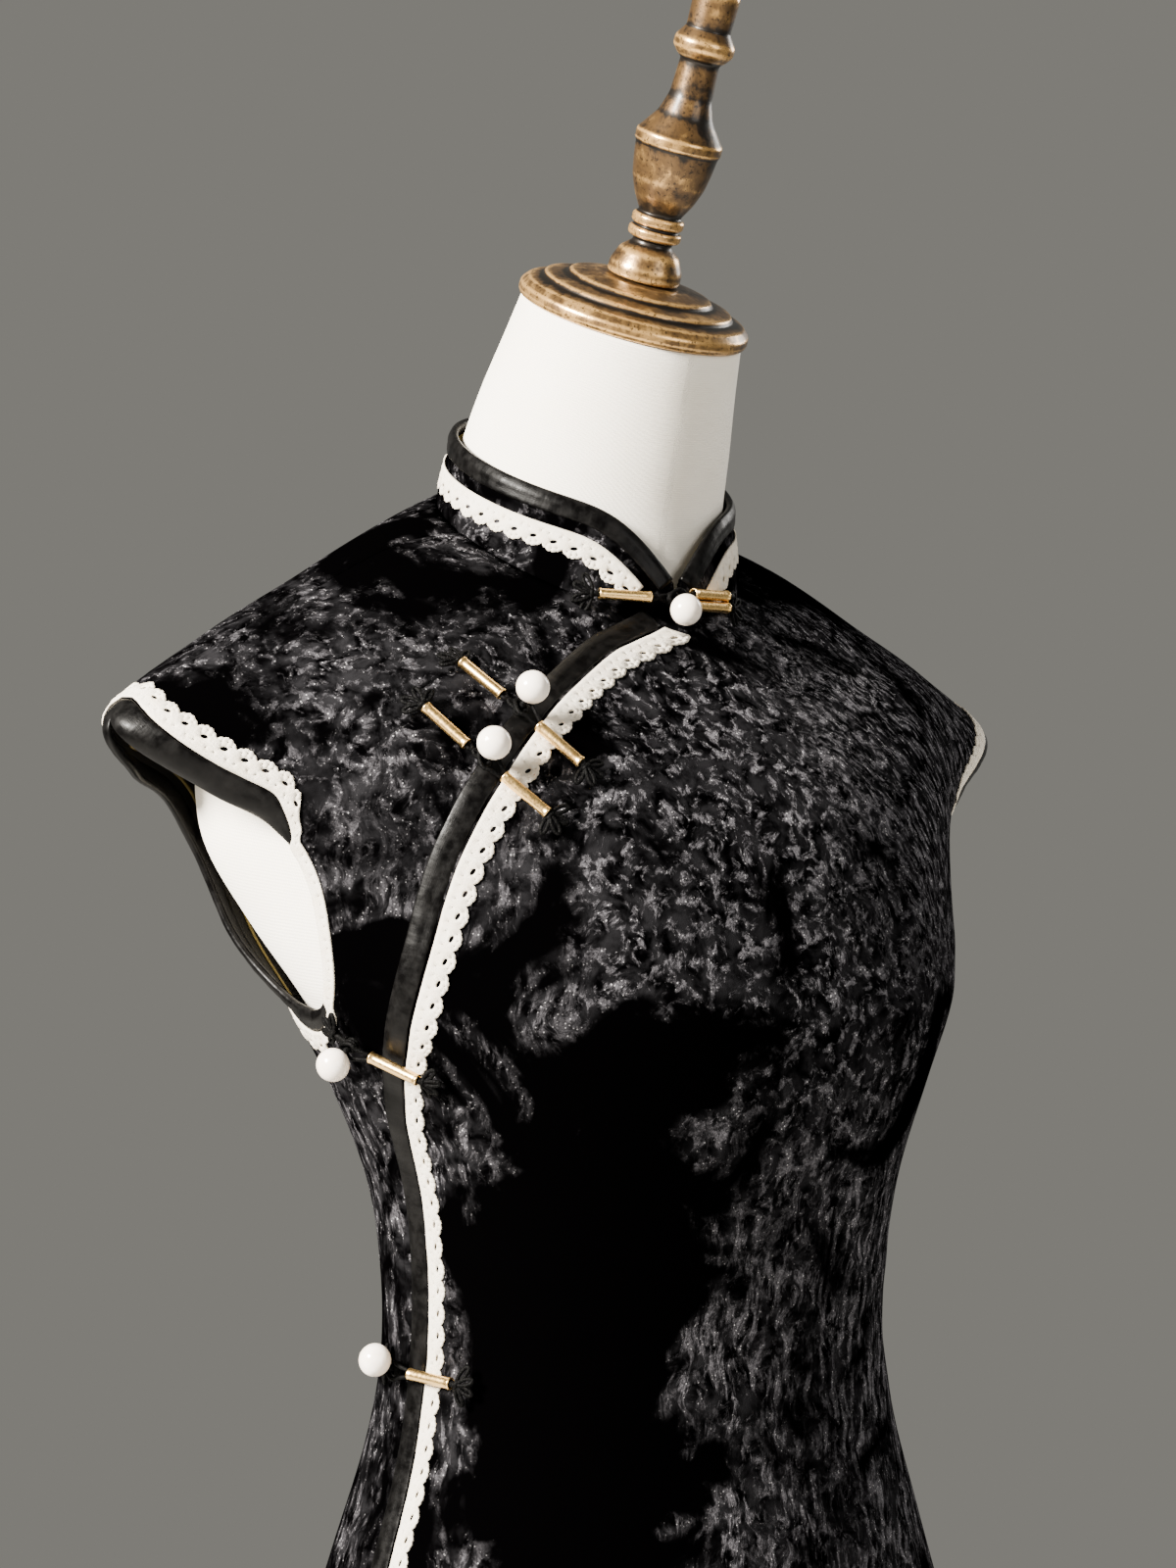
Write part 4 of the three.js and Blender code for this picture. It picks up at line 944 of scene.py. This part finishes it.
def piping(name, node, band, station, near, width=2):
    """A flat strip of olive twill on the inside of the cloth, at a distance near its edge at each station."""
    share, height = np.array(PIPING_SECTION).T
    across = near[:, None] + width * share
    points = band.at(np.broadcast_to(station[:, None], across.shape), across, height).reshape(-1, 3)
    faces = strips(*across.shape) + flat_ends(*across.shape)
    cut = np.stack([np.broadcast_to(station[:, None] * ARMHOLE_STEP, across.shape), across], -1).reshape(-1, 2)
    return piece(name, "black_satin", [node], ["olive"], points, outward(points, faces), cut)


def ellipse(centre, half, turn, count):
    x, y = (size * value for size, value in zip(half, circle(count)))
    c, s = math.cos(turn), math.sin(turn)
    return centre + np.hstack([c * x - s * y, s * x + c * y])


def is_inside(polygon, points):
    x, y = points[:, None, 0], points[:, None, 1]
    a, b = polygon, np.roll(polygon, -1, 0)
    crosses = (a[:, 1] > y) != (b[:, 1] > y)
    at = a[:, 0] + (y - a[:, 1]) * (b[:, 0] - a[:, 0]) / np.where(b[:, 1] == a[:, 1], 1e-9, b[:, 1] - a[:, 1])
    return np.sum(crosses & (x < at), 1) % 2 == 1


# The holes of one scallop: an eyelet, three pricks round the lobe and two near the sewn edge. The first column is
# how far along the scallop each one lies.
LACE_HOLES = table(
    ["share", "across", "half_length", "half_width", "turn", "corners"],
    [0.5, 6.2, 1.5, 0.78, -18, 14],
    [0.25, 8.1, 0.22, 0.22, 0, 7],
    [0.5, 8.9, 0.25, 0.25, 0, 7],
    [0.75, 8.1, 0.22, 0.22, 0, 7],
    [0.2, 3.2, 0.2, 0.34, 0, 6],
    [0.8, 3.2, 0.2, 0.34, 0, 6],
)


def lace_cell():
    """One scallop of the lace, flat: its points, its triangles and which of its points are on an edge."""
    pitch, picot = LACE["pitch"], LACE["picot"]
    notch, arch = LACE["width"] - LACE["scallop"], LACE["scallop"] - picot
    top = [(u, 0.0) for u in np.linspace(0, pitch, 7)]
    sides = [2.6, 5.0]
    lobe = [(pitch, notch)]
    for share in np.linspace(0, 1, 25)[1:-1]:
        rise = arch * np.sin(np.pi * share) ** 0.75 + picot * abs(np.sin(np.pi * 4 * share))
        lobe.append((pitch * (1 - share), notch + rise))
    lobe.append((0.0, notch))
    outline = np.array(top + [(pitch, v) for v in sides] + lobe + [(0.0, v) for v in reversed(sides)])
    holes = [
        ellipse((share * pitch, across), (half_length, half_width), math.radians(turn), int(corners))
        for share, across, half_length, half_width, turn, corners in zip(*LACE_HOLES.values())
    ]
    spread = np.array([(u * pitch, v) for v in (1.3, 2.4, 4.6) for u in (0.12, 0.37, 0.62, 0.87)])
    edges, edged = [], 0
    for loop in (outline, *holes):
        edges += [(edged + k, edged + (k + 1) % len(loop)) for k in range(len(loop))]
        edged += len(loop)
    points = np.concatenate([outline, *holes, spread])
    made = delaunay_2d_cdt([Vector(p) for p in points], edges, [], 0, 1e-6)
    flat = np.array([tuple(p) for p in made[0]])
    triangles = np.array([face for face in made[2] if len(face) == 3])
    middles = flat[triangles].mean(1)
    keep = is_inside(outline, middles)
    for hole in holes:
        keep &= ~is_inside(hole, middles)
    near_edge = np.array([min(np.linalg.norm(points[:edged] - p, axis=1)) < 0.05 for p in flat])
    return flat, triangles[keep], near_edge


LACE_CELL = lace_cell()


def lace(name, node, band, near, reach=None, height=0.12, ends=(0, 0), slant=(0, 0), gathered_in=1.0):
    """A run of lace on a band, from a distance near its edge to reach, or to its full width.

    slant draws its first end back, by a length and a share of the distance across. gathered_in narrows it.
    """
    flat, triangles, near_edge = LACE_CELL
    length = band.length_at(near + 6)
    start, end = ends[0], length[-1] - ends[1]
    count = max(1, round((end - start) / LACE["pitch"]))
    pitch = (end - start) / count
    u = (flat[None, :, 0] / LACE["pitch"] + np.arange(count)[:, None]) * pitch
    v = np.broadcast_to(flat[None, :, 1], u.shape)
    if band.is_ring:
        u = np.where(u > count * pitch - 1e-6, 0, u)
    both = np.stack([u.ravel(), v.ravel()], -1)
    _, first, again = np.unique(np.round(both, 3), axis=0, return_index=True, return_inverse=True)
    faces = again.ravel()[(triangles[None] + np.arange(count)[:, None, None] * len(flat)).reshape(-1, 3)]
    u, v = both[first].T
    is_edge = np.tile(near_edge, count)[first]
    worked = ripple(u, (71, 0.14, 0), (23, 0.12, 1), (9.7, 0.06, 2)) * (v / LACE["width"]) ** 2
    fade = np.exp(-u / 22)
    station = beyond(length, u + start - slant[0] * fade - slant[1] * v * fade)
    distance = band.along(station, near) + (v + worked) * band.along(station, gathered_in)
    if reach is not None:
        limit = band.along(station, reach)
        faces = faces[~np.all((distance > limit)[faces], 1)]
        distance = np.minimum(distance, limit)
    thickness = LACE["thickness"] * np.where(is_edge, 1.0, 0.8)
    raised = height + thickness + ripple(u + 3 * v, (5.3, 0.05, 0), (13, 0.05, 1))
    top = band.at(station, distance, raised)
    bottom = band.at(station, distance, height)
    n = len(u)
    edges = np.concatenate([faces[:, [0, 1]], faces[:, [1, 2]], faces[:, [2, 0]]])
    _, index, counts = np.unique(np.sort(edges, 1), axis=0, return_index=True, return_counts=True)
    every = [tuple(f) for f in faces] + [tuple(f[::-1] + n) for f in faces]
    every += [(b, a, a + n, b + n) for a, b in edges[index[counts == 1]]]
    points = np.concatenate([top, bottom])
    cut = np.tile(np.stack([u, v], -1), (2, 1))
    return piece(name, "cotton_lace", [node], ["lace"], points, outward(points, every), cut)


def edge_band():
    """The band beside the front panel's curved edge and its side."""
    raw = np.linspace(0.12, HEM, 3000)
    levels = even(raw, cloth(raw, front_edge(raw)), 2.0)
    turns = front_edge(levels)
    along = on_front_edge(levels + 0.05) - on_front_edge(levels - 0.05)
    _, _, _, normal = frame_on(cloth, levels, turns)
    return Band(cloth, levels, turns, unit(np.cross(normal, along)), 24)


EDGE_BAND = edge_band()
edge_binding = binding(
    "front_edge_satin", "front_edge_binding", EDGE_BAND, BINDING["width"], fullness=0.6, ahead=3
)
edge_lace = lace(
    "front_edge_cotton_lace",
    "front_edge_lace",
    EDGE_BAND,
    BINDING["width"] + LACE["gap"],
    slant=(4.5, 0.8),
    gathered_in=1 - 0.2 * smooth((EDGE_BAND.places[:, 0] - 9.9) / 0.4),
)


def collar_band():
    """The band below the collar's top edge, and how far down it the collar's cloth reaches."""
    turns = np.linspace(2.5, 357.5, 300)
    rise = collar_height(turns)
    points = collar(rise, turns)
    along = np.gradient(points, axis=0)
    _, _, _, normal = frame_on(collar, rise, turns)
    heading = unit(np.cross(normal, along))
    heading = heading * np.where(heading[:, 2:] > 0, -1, 1)
    band = Band(collar, rise, turns, heading, 25)
    steps = np.arange(band.places.shape[1]) * Band.STEP
    reach = np.array([np.interp(-0.025, -row, steps) for row in band.places])
    return band, reach


COLLAR_BAND, COLLAR_REACH = collar_band()
collar_binding = binding(
    "collar_satin", "collar_binding", COLLAR_BAND, COLLAR["binding"], inner=1.15, fullness=0.85
)
collar_lace = lace(
    "collar_cotton_lace", "collar_lace", COLLAR_BAND, COLLAR["lace_from"], COLLAR_REACH, ends=(6, 6)
)


def armhole_line(widest, power, opening):
    """Levels of one edge of an armhole and how far it is open there, from the underarm up to the tip."""
    span = OPENING["last"] - OPENING["first"]
    phase = np.linspace(np.pi / 2, 0, 60)
    lower = OPENING["first"] + span * (widest + (1 - widest) * np.sin(phase))
    along = widest * (1 - np.linspace(0, 1, 90)[1:]) ** 1.4
    upper = OPENING["first"] + span * along
    share = np.concatenate([np.cos(phase), np.sin(np.pi / 2 * along / widest) ** power])
    return np.concatenate([lower, upper]), opening * share


def armhole_band(side):
    """The band round an armhole, up its front edge to the tip and down its back edge."""
    front_levels, front_open = armhole_line(opening=OPENING["front"], **FRONT_OPENING)
    back_levels, back_open = armhole_line(opening=OPENING["back"], **BACK_OPENING)
    levels = np.concatenate([front_levels, back_levels[::-1]])
    turns = np.concatenate([
        90 - seam_turn(front_levels) - front_open,
        (90 + seam_turn(back_levels) + back_open)[::-1],
    ])
    turns[np.argmin(front_levels)] = 90
    turns = turns * side
    points = cloth(levels, turns)
    length = path_length(np.concatenate([points, points[:1]]))
    at = np.linspace(0, length[-1], int(length[-1] / ARMHOLE_STEP), endpoint=False)
    levels = np.interp(at, length, np.append(levels, levels[0]))
    turns = np.interp(at, length, np.append(turns, turns[0]))
    points = cloth(levels, turns)
    tangent = np.roll(points, -1, 0) - np.roll(points, 1, 0)
    window = np.hanning(15)[1:-1]
    window = window / window.sum()
    half = len(window) // 2
    padded = np.concatenate([tangent[-half:], tangent, tangent[:half]])
    tangent = np.stack([np.convolve(padded[:, k], window, "valid") for k in range(3)], -1)
    _, _, _, normal = frame_on(cloth, levels, turns)
    heading = unit(np.cross(normal, tangent))
    middle = cloth(7.5, side * 92.0)
    if np.mean(np.sum(heading * (points - middle), -1) < 0) > 0.5:
        heading = -heading
    depth = underlap_depth if side < 0 else None
    return Band(cloth, levels, turns, heading, 27, depth, is_ring=True), levels, turns


CAP_BINDING = {"to_level": 9, "over": 0.5}
TURNED_IN = {"from_level": 7, "over": 0.25, "to_level": 10.04, "end_over": 0.16}


def armhole_binding_width(levels, turns):
    """The binding is widest on the front of the cap, and below it the binding is turned in."""
    on_cap = smooth((CAP_BINDING["to_level"] - levels) / CAP_BINDING["over"])
    widest = BINDING["width"] + (BINDING["cap_width"] - BINDING["width"]) * on_cap
    turned_in = smooth((levels - TURNED_IN["from_level"]) / TURNED_IN["over"])
    turned_in = turned_in * smooth((TURNED_IN["to_level"] - levels) / TURNED_IN["end_over"])
    front_width = widest + (BINDING["turned_in"] - widest) * turned_in
    width = np.where(np.abs(turns) >= 90, BINDING["width"], front_width)
    width = np.concatenate([width[-6:], width, width[:6]])
    return np.convolve(width, np.ones(13) / 13, "valid")


# Low on the front the lace is folded over the edge, with this much less of it showing. The piping lies on the
# inside of the back edge between two levels, further in the lower it is.
FOLDED = {"from_level": 6.9, "over": 0.35, "less": 6.8}
PIPED = {"first": 6.1, "last": 9.85, "inset": 13.5, "further": 4, "from_level": 7.8, "over": 1.8}

for side, label in ((-1, "right"), (1, "left")):
    band, levels, turns = armhole_band(side)
    width = armhole_binding_width(levels, turns)
    width, levels, turns = (np.append(values, values[0]) for values in (width, levels, turns))
    fullness = 1 - 0.55 * np.exp(-(((levels - OPENING["first"]) / 0.35) ** 2))
    satin, cotton, olive = (f"armhole_{kind}_{label}" for kind in ("satin", "cotton_lace", "piping"))
    bound, edged = (f"armhole_{kind}_{label}" for kind in ("binding", "lace"))
    binding(satin, bound, band, width, 1.5, 1, fullness, inside=2.1)
    lace_from = width + 0.6 - 2.2 * smooth((2.6 - width) / 1.2)
    is_front = np.abs(turns) < 90
    folded = smooth((levels - FOLDED["from_level"]) / FOLDED["over"]) * is_front
    reach = lace_from + 12 - FOLDED["less"] * folded
    lace(cotton, edged, band, lace_from, reach, 0.2)
    behind = np.flatnonzero(~is_front & (levels > PIPED["first"]) & (levels < PIPED["last"]))
    lower = smooth((levels[behind] - PIPED["from_level"]) / PIPED["over"])
    piping(olive, bound, band, behind, PIPED["inset"] + PIPED["further"] * lower)


# Frog fastenings

FROG = {"tube_from": 9.3, "tube_length": 22, "tube_radius": 2.3, "bore": 1.65, "tubes_apart": 4.9, "pearl": 6.5}
CORD_HEIGHT = 5
LOOP_HEIGHT = CORD_HEIGHT + 2.7
PEARL_HEIGHT = LOOP_HEIGHT + 7.6
CORD = {"radius": 0.85, "single": 1.1, "in_tube": 1.3, "coiled": 0.95, "shank": 1.35, "fan": 0.8, "apart": 1.6}
FAN = {"turns": (-66, -24, 20, 64), "reach": 8.2, "opened": math.radians(44), "droop": 1.6, "back": 1.2}
KNOT = {"half_width": 1.5, "half_height": 0.76, "back": 0.6}
COIL = {"radius": 2.0, "turns": 2.6, "rise": 0.2, "below": 1.6}
# The loop's cord round the button, outward from the edge, across and up from the loop's height.
LOOP = [(5.2, 2.3, -0.4), (1.5, 3.5, 0), (-3.0, 0, 0), (1.5, -3.5, 0), (5.2, -2.3, -0.4)]
FROGS = table(
    ["level", "inward", "turned", "pearl_up", "button_tubes", "lowered"],
    [3.82, 1.2, -13, 4, 1, 0.88],
    [4.66, 1.2, -12, 4, 1, 1],
    [10.42, -12.5, 0, -3, 0, 0.37],
    [13.97, -3.5, 0, 4, 0, 0.69],
    [16.9, 0, 0, 4.5, 0, 0.94],
    [18.75, 0, 0, 4.5, 0, 1.44],
)
FROG_NAMES = ["chest_upper", "chest_lower", "underarm", "waist", "hip", "thigh"]


def fan(tail, along, across, flat, seed):
    """The loops of cord at a frog's outer end."""
    parts = []
    rng = np.random.default_rng(seed)
    for turn in FAN["turns"]:
        middle = math.radians(turn + rng.uniform(-6, 6))
        reach = FAN["reach"] + rng.uniform(-0.9, 0.7)
        t = np.linspace(0, 1, 19)[:, None]
        radius = reach * np.sin(np.pi * t) ** 0.85
        angle = middle + FAN["opened"] * (t - 0.5)
        droop = rng.uniform(-0.3, 0.3) - FAN["droop"] * (radius / reach) ** 2
        spread = radius * (np.cos(angle) * along + np.sin(angle) * across)
        parts.append(tube(tail - along * FAN["back"] + spread + droop * flat, CORD["fan"]))
    half_width, half_height, back = KNOT.values()
    corners = ((-half_width, 0), (0, half_height), (half_width, 0), (0, -half_height))
    knot = [tail + across * a + flat * b - along * back for a, b in corners]
    parts.append(tube(curve_through(knot, 14, True), CORD["radius"], closed=True))
    return parts


def bead(inner, along, flat):
    """A hollow gold bead with a rolled rim at each end."""
    length, radius, bore = FROG["tube_length"], FROG["tube_radius"], FROG["bore"]
    rim = [(bore, 0.25), (bore + 0.2, 0), (radius - 0.15, 0), (radius + 0.1, 0.25), (radius + 0.1, 0.75)]
    rim += [(radius - 0.1, 1), (radius - 0.12, 2.5)]
    profile = rim + [(r, length - d) for r, d in reversed(rim)]
    c, s = circle(28)
    rings = [inner + along * d + r * (c * np.cross(along, flat) + s * flat) for r, d in profile]
    points = np.concatenate(rings)
    return points, outward(points, strips(len(profile), len(c), closed=True))


PEARL_SQUASH = 0.97


def ball(centre, radius, up):
    """A pearl, a little less than round."""
    side = unit(np.cross(up, [0.3, 0.2, 1.0]))
    rise = up * radius * PEARL_SQUASH
    c, s = circle(32)
    outwards = radius * (c * side + s * np.cross(up, side))
    rings = [centre - rise * math.cos(a) + outwards * math.sin(a) for a in np.pi * np.arange(1, 24) / 24]
    points = np.concatenate([*rings, [centre - rise, centre + rise]])
    return points, outward(points, strips(len(rings), len(c)) + pointed_ends(len(rings), len(c)))


def frog(surface, place, heading, name, pearl_up, button_tubes, lowered, loop_tubes=1):
    """A fastening across an edge: a button side and a loop side of cord with tube beads, and a pearl."""
    cord_height, loop_height, pearl_height = (h - lowered for h in (CORD_HEIGHT, LOOP_HEIGHT, PEARL_HEIGHT))
    place = [float(value) for value in place]
    point, _, _, normal = frame_on(surface, *map(np.array, place))
    x = unit(heading - normal * (heading @ normal))
    y = np.cross(normal, x)

    def local(a, b, c):
        return point + x * a + y * b + normal * c

    def cord(points, count, radius=CORD["radius"], sides=8):
        return tube(curve_through(points, count), radius, sides)

    for side, label, tubes in ((-1, "button", button_tubes), (1, "loop", loop_tubes)):
        parts = []
        node = f"{name}_cord_{label}"
        for strand, offset in enumerate((-0.5, 0.5) if tubes == 2 else (0,)):
            row = walk(surface, *place, y, offset * FROG["tubes_apart"])
            reaches = np.array([0, 0.5, 1]) * FROG["tube_length"] + FROG["tube_from"]
            under = [frame_on(surface, *walk(surface, *row, x, side * reach)) for reach in reaches]
            inner, outer = (under[k][0] + under[k][3] * cord_height for k in (0, 2))
            over = under[1][3]
            sunk = max(0.0, cord_height - float(((inner + outer) / 2 - under[1][0]) @ over))
            tail = inner
            inner, outer = inner + over * sunk, outer + over * sunk
            along = unit(outer - inner)
            across = unit(np.cross(over, along))
            flat = np.cross(along, across)
            if tubes:
                tail = outer + along * 2.2
            if label == "loop" and strand == 0:
                start, half_apart = inner + along * 1.5, across * CORD["apart"] / 2
                ring = [local(a, b, loop_height + c) for a, b, c in LOOP]
                parts.append(cord([start + half_apart, *ring, start - half_apart], 46))
            elif label == "loop":
                parts.append(cord([inner + along * 2, inner - along * 1.5, local(5.4, 1.6, loop_height)], 12))
            elif tubes:
                for shift in (-CORD["apart"] / 2, CORD["apart"] / 2):
                    line = [local(-1.2, shift, cord_height), local(-4.5, 1.2 * shift, cord_height)]
                    line += [inner - along * 1.5 + across * shift, inner + along * 2 + across * shift * 0.6]
                    parts.append(cord(line, 16))
            if tubes:
                core = [inner + along, (inner + outer) / 2, outer - along * 0.5, tail]
                parts.append(tube(core, CORD["in_tube"], 10))
                bead_name = f"{name}_tube_{label}" + ("_second" if strand else "")
                piece(bead_name + "_bead", "gold_tube", [bead_name], ["gold"], *bead(inner, along, flat))
            elif label == "button":
                line = [local(-1.2, 0, cord_height), local(-5, 0, cord_height - 0.4), tail - flat * 0.3]
                parts.append(cord(line, 12, CORD["single"]))
            if strand == 0:
                parts += fan(tail, along, across, flat, len(name) * 7 + side)
        if label == "button":
            turns = np.linspace(0, 2 * np.pi * COIL["turns"], 44)
            coil = COIL["radius"] * np.stack([np.cos(turns), np.sin(turns)], -1)
            rises = cord_height - COIL["below"] + COIL["rise"] * turns
            parts.append(tube([local(a, b, rise) for (a, b), rise in zip(coil, rises)], CORD["coiled"]))
            shank = [(0, cord_height - 1.5), (0.25, loop_height), (0.8, pearl_height - 5)]
            line = [local(0, pearl_up * share, height) for share, height in shank]
            parts.append(cord(line, 10, CORD["shank"], 10))
        piece(node + "_braid", "black_cord", [node], ["cord"], *gathered(*parts))
    pearl = ball(local(0, pearl_up, pearl_height), FROG["pearl"], normal)
    piece(f"{name}_pearl_button", "pearl", [f"{name}_pearl"], ["pearl"], *pearl)


for name, level, inward, turned, pearl_up, button_tubes, lowered in zip(FROG_NAMES, *FROGS.values()):
    start = (np.array(level), front_edge(np.array(level)))
    _, _, _, normal = frame_on(cloth, *start)
    heading = unit(np.cross(normal, on_front_edge(level + 0.05) - on_front_edge(level - 0.05)))
    centre = walk(cloth, *start, heading, inward)
    _, _, _, normal = frame_on(cloth, *centre)
    c, s = math.cos(math.radians(turned)), math.sin(math.radians(turned))
    heading = heading * c + np.cross(normal, heading) * s + normal * (normal @ heading) * (1 - c)
    frog(cloth, centre, heading, "frog_" + name, pearl_up, button_tubes, lowered)
frog(collar, (0.17, -5.5), np.array([1, 0, -0.03]), "frog_neck", -6, 1, 0, loop_tubes=2)


# Dress form and stand

def form_body():
    """The covered body and neck, from the top of the neck down, closed at both ends."""
    sides = 112
    turns = np.linspace(0, 360, sides, endpoint=False)
    s, c = np.sin(np.radians(turns)), np.cos(np.radians(turns))
    lean = np.array([0, math.cos(NECK_LEAN), math.sin(NECK_LEAN)])
    rings = []
    for height, centre, radius in zip(*NECK_DISCS.values()):
        rings.append([0, centre, height] + radius * (s[:, None] * [1, 0, 0] - c[:, None] * lean))
    for level, arm in enumerate(FORM_RINGS["arm"]):
        ring = ring_point(FORM_RINGS, float(level), turns)
        from_arm = np.abs(np.where(turns > 180, turns - 360, turns)) - ARM["turn"]
        ring[:, 0] += np.sign(ring[:, 0]) * arm * np.exp(-((from_arm / ARM["spread"]) ** 2))
        rings.append(ring)
    fine = curve_through(np.reshape(rings, (len(rings), -1)), 175).reshape(175, sides, 3)
    top, base = fine[0].mean(0), fine[-1].mean(0)
    upper = [top + (fine[0] - top) * share for share in (0.5, 0.93)]
    upper += [(fine[0] + upper[1]) / 2, fine[0] + (fine[1] - fine[0]) * 0.12]
    lower = [base + (fine[-1] - base) * share for share in (0.97, 0.5)]
    grid = np.concatenate([upper, fine[1:], lower])
    rows = len(grid)
    points = np.concatenate([grid.reshape(-1, 3), [top, base]])
    faces = strips(rows, sides) + pointed_ends(rows, sides)
    down = path_length(grid[:, 0])
    cut = np.stack(np.broadcast_arrays(turns * 2.2, down[:, None]), -1).reshape(-1, 2)
    cut = np.concatenate([cut, [[0, 0], [0, down[-1]]]])
    return piece("form_jersey", "form_cloth", ["form_body"], ["form"], points, outward(points, faces), cut)


form = form_body()

CAP_TOP = 17.5
CAP_PROFILE = [
    (0, 0), (48.5, 0), (49.5, 2), (49.3, 5), (46.5, 8), (41, 9.5), (40, 11.5), (31.5, 13), (30, 15), (20, 17),
    (0, CAP_TOP),
]
FINIAL_PROFILE = [
    (0, 0), (15.6, 0), (15.4, 5), (12.8, 11), (8.6, 14.5), (8.2, 16), (11.2, 17.5), (11.2, 20.5), (9.2, 21.7),
    (11, 23), (11, 26), (8.8, 27.5), (12.6, 34), (15.3, 41), (16.6, 48), (17.4, 54.5), (18.2, 56),
    (18.2, 59.5), (16.6, 61.5), (11.5, 68.5), (8.9, 76.5), (8.2, 91), (10.2, 92.5), (12.6, 95.5), (12.6, 99),
    (9.8, 103),
    (9.2, 104), (9.6, 118), (8, 121), (0, 121),
]
BASE_PROFILE = [(0, 0), (170, 0), (170, 9), (165, 14), (110, 17), (26, 24), (0, 24)]
POLE_PROFILE = [(0, 24.3), (14, 24.3), (14, 759.7), (0, 759.7)]


def leaning(points, up):
    """Points of a turned piece that stands on the leaning top of the neck."""
    c, s = math.cos(NECK_LEAN), math.sin(NECK_LEAN)
    x, y, z = (points + [0, 0, up]).T
    middle = [0, NECK_DISCS["centre_y"][0], NECK_DISCS["height"][0]]
    return middle + np.stack([x, y * c - z * s, y * s + z * c], -1)


for name, profile, up, sides, bend in (
    ("form_neck_cap", CAP_PROFILE, SEAM, 120, 1.1),
    ("form_finial", FINIAL_PROFILE, CAP_TOP + 2 * SEAM, 72, 1.6),
):
    points, faces, worn = lathe(profile, sides, bend)
    piece(name + "_turned", "bronzed_wood", [name], ["bronze"], leaning(points, up), faces, wear=worn)
for name, profile, sides, bend in (
    ("stand_pole", POLE_PROFILE, 48, 0.8),
    ("stand_base", BASE_PROFILE, 144, 3),
):
    points, faces, worn = lathe(profile, sides, bend)
    piece(name + "_turned", "stand_metal", [name], ["stand"], points, faces, wear=worn)

# Floor, backdrop light and lamps
FLOOR = {"radius": 3, "sides": 120}
floor_rim = FLOOR["radius"] * np.hstack([*circle(FLOOR["sides"]), np.zeros((FLOOR["sides"], 1))])
floor_mesh = bpy.data.meshes.new("floor")
floor_mesh.from_pydata(floor_rim.tolist(), [], [tuple(range(FLOOR["sides"]))])
floor = bpy.data.objects.new("floor", floor_mesh)
bpy.context.scene.collection.objects.link(floor)
floor_look = Look("pale_floor", roughness=0.7)
floor_cloud = floor_look.noise(floor_look.place, 3, 3)
floor_tone = floor_look.mix(floor_cloud, rgb(0.62, 0.61, 0.585), rgb(0.66, 0.65, 0.625))
floor_mesh.materials.append(floor_look.finish(base_color=floor_tone))

world = bpy.data.worlds.new("studio")
bpy.context.scene.world = world
world.use_nodes = True
world.node_tree.nodes["Background"].inputs["Color"].default_value = rgb(0.70, 0.68, 0.615)
world.node_tree.nodes["Background"].inputs["Strength"].default_value = 0.3


def lamp(name, away, right, height, size, power, colour):
    data = bpy.data.lights.new(name, "AREA")
    data.shape = "DISK"
    data.size = size
    data.energy = power
    data.color = colour
    obj = bpy.data.objects.new(name, data)
    obj.location = TO_CAMERA * away + TO_RIGHT * right + Vector((0, 0, height))
    obj.rotation_euler = (Vector((0, 0, 1.2)) - obj.location).to_track_quat("-Z", "Y").to_euler()
    bpy.context.scene.collection.objects.link(obj)


lamp("key", 1.35, -1.6, 2.25, 0.7, 520, (1.0, 0.95, 0.87))
lamp("fill", 1.9, 1.9, 1.7, 1.5, 26, (1.0, 0.985, 0.96))
lamp("rim", -1.4, 1.5, 2.2, 0.9, 22, (1.0, 0.97, 0.92))
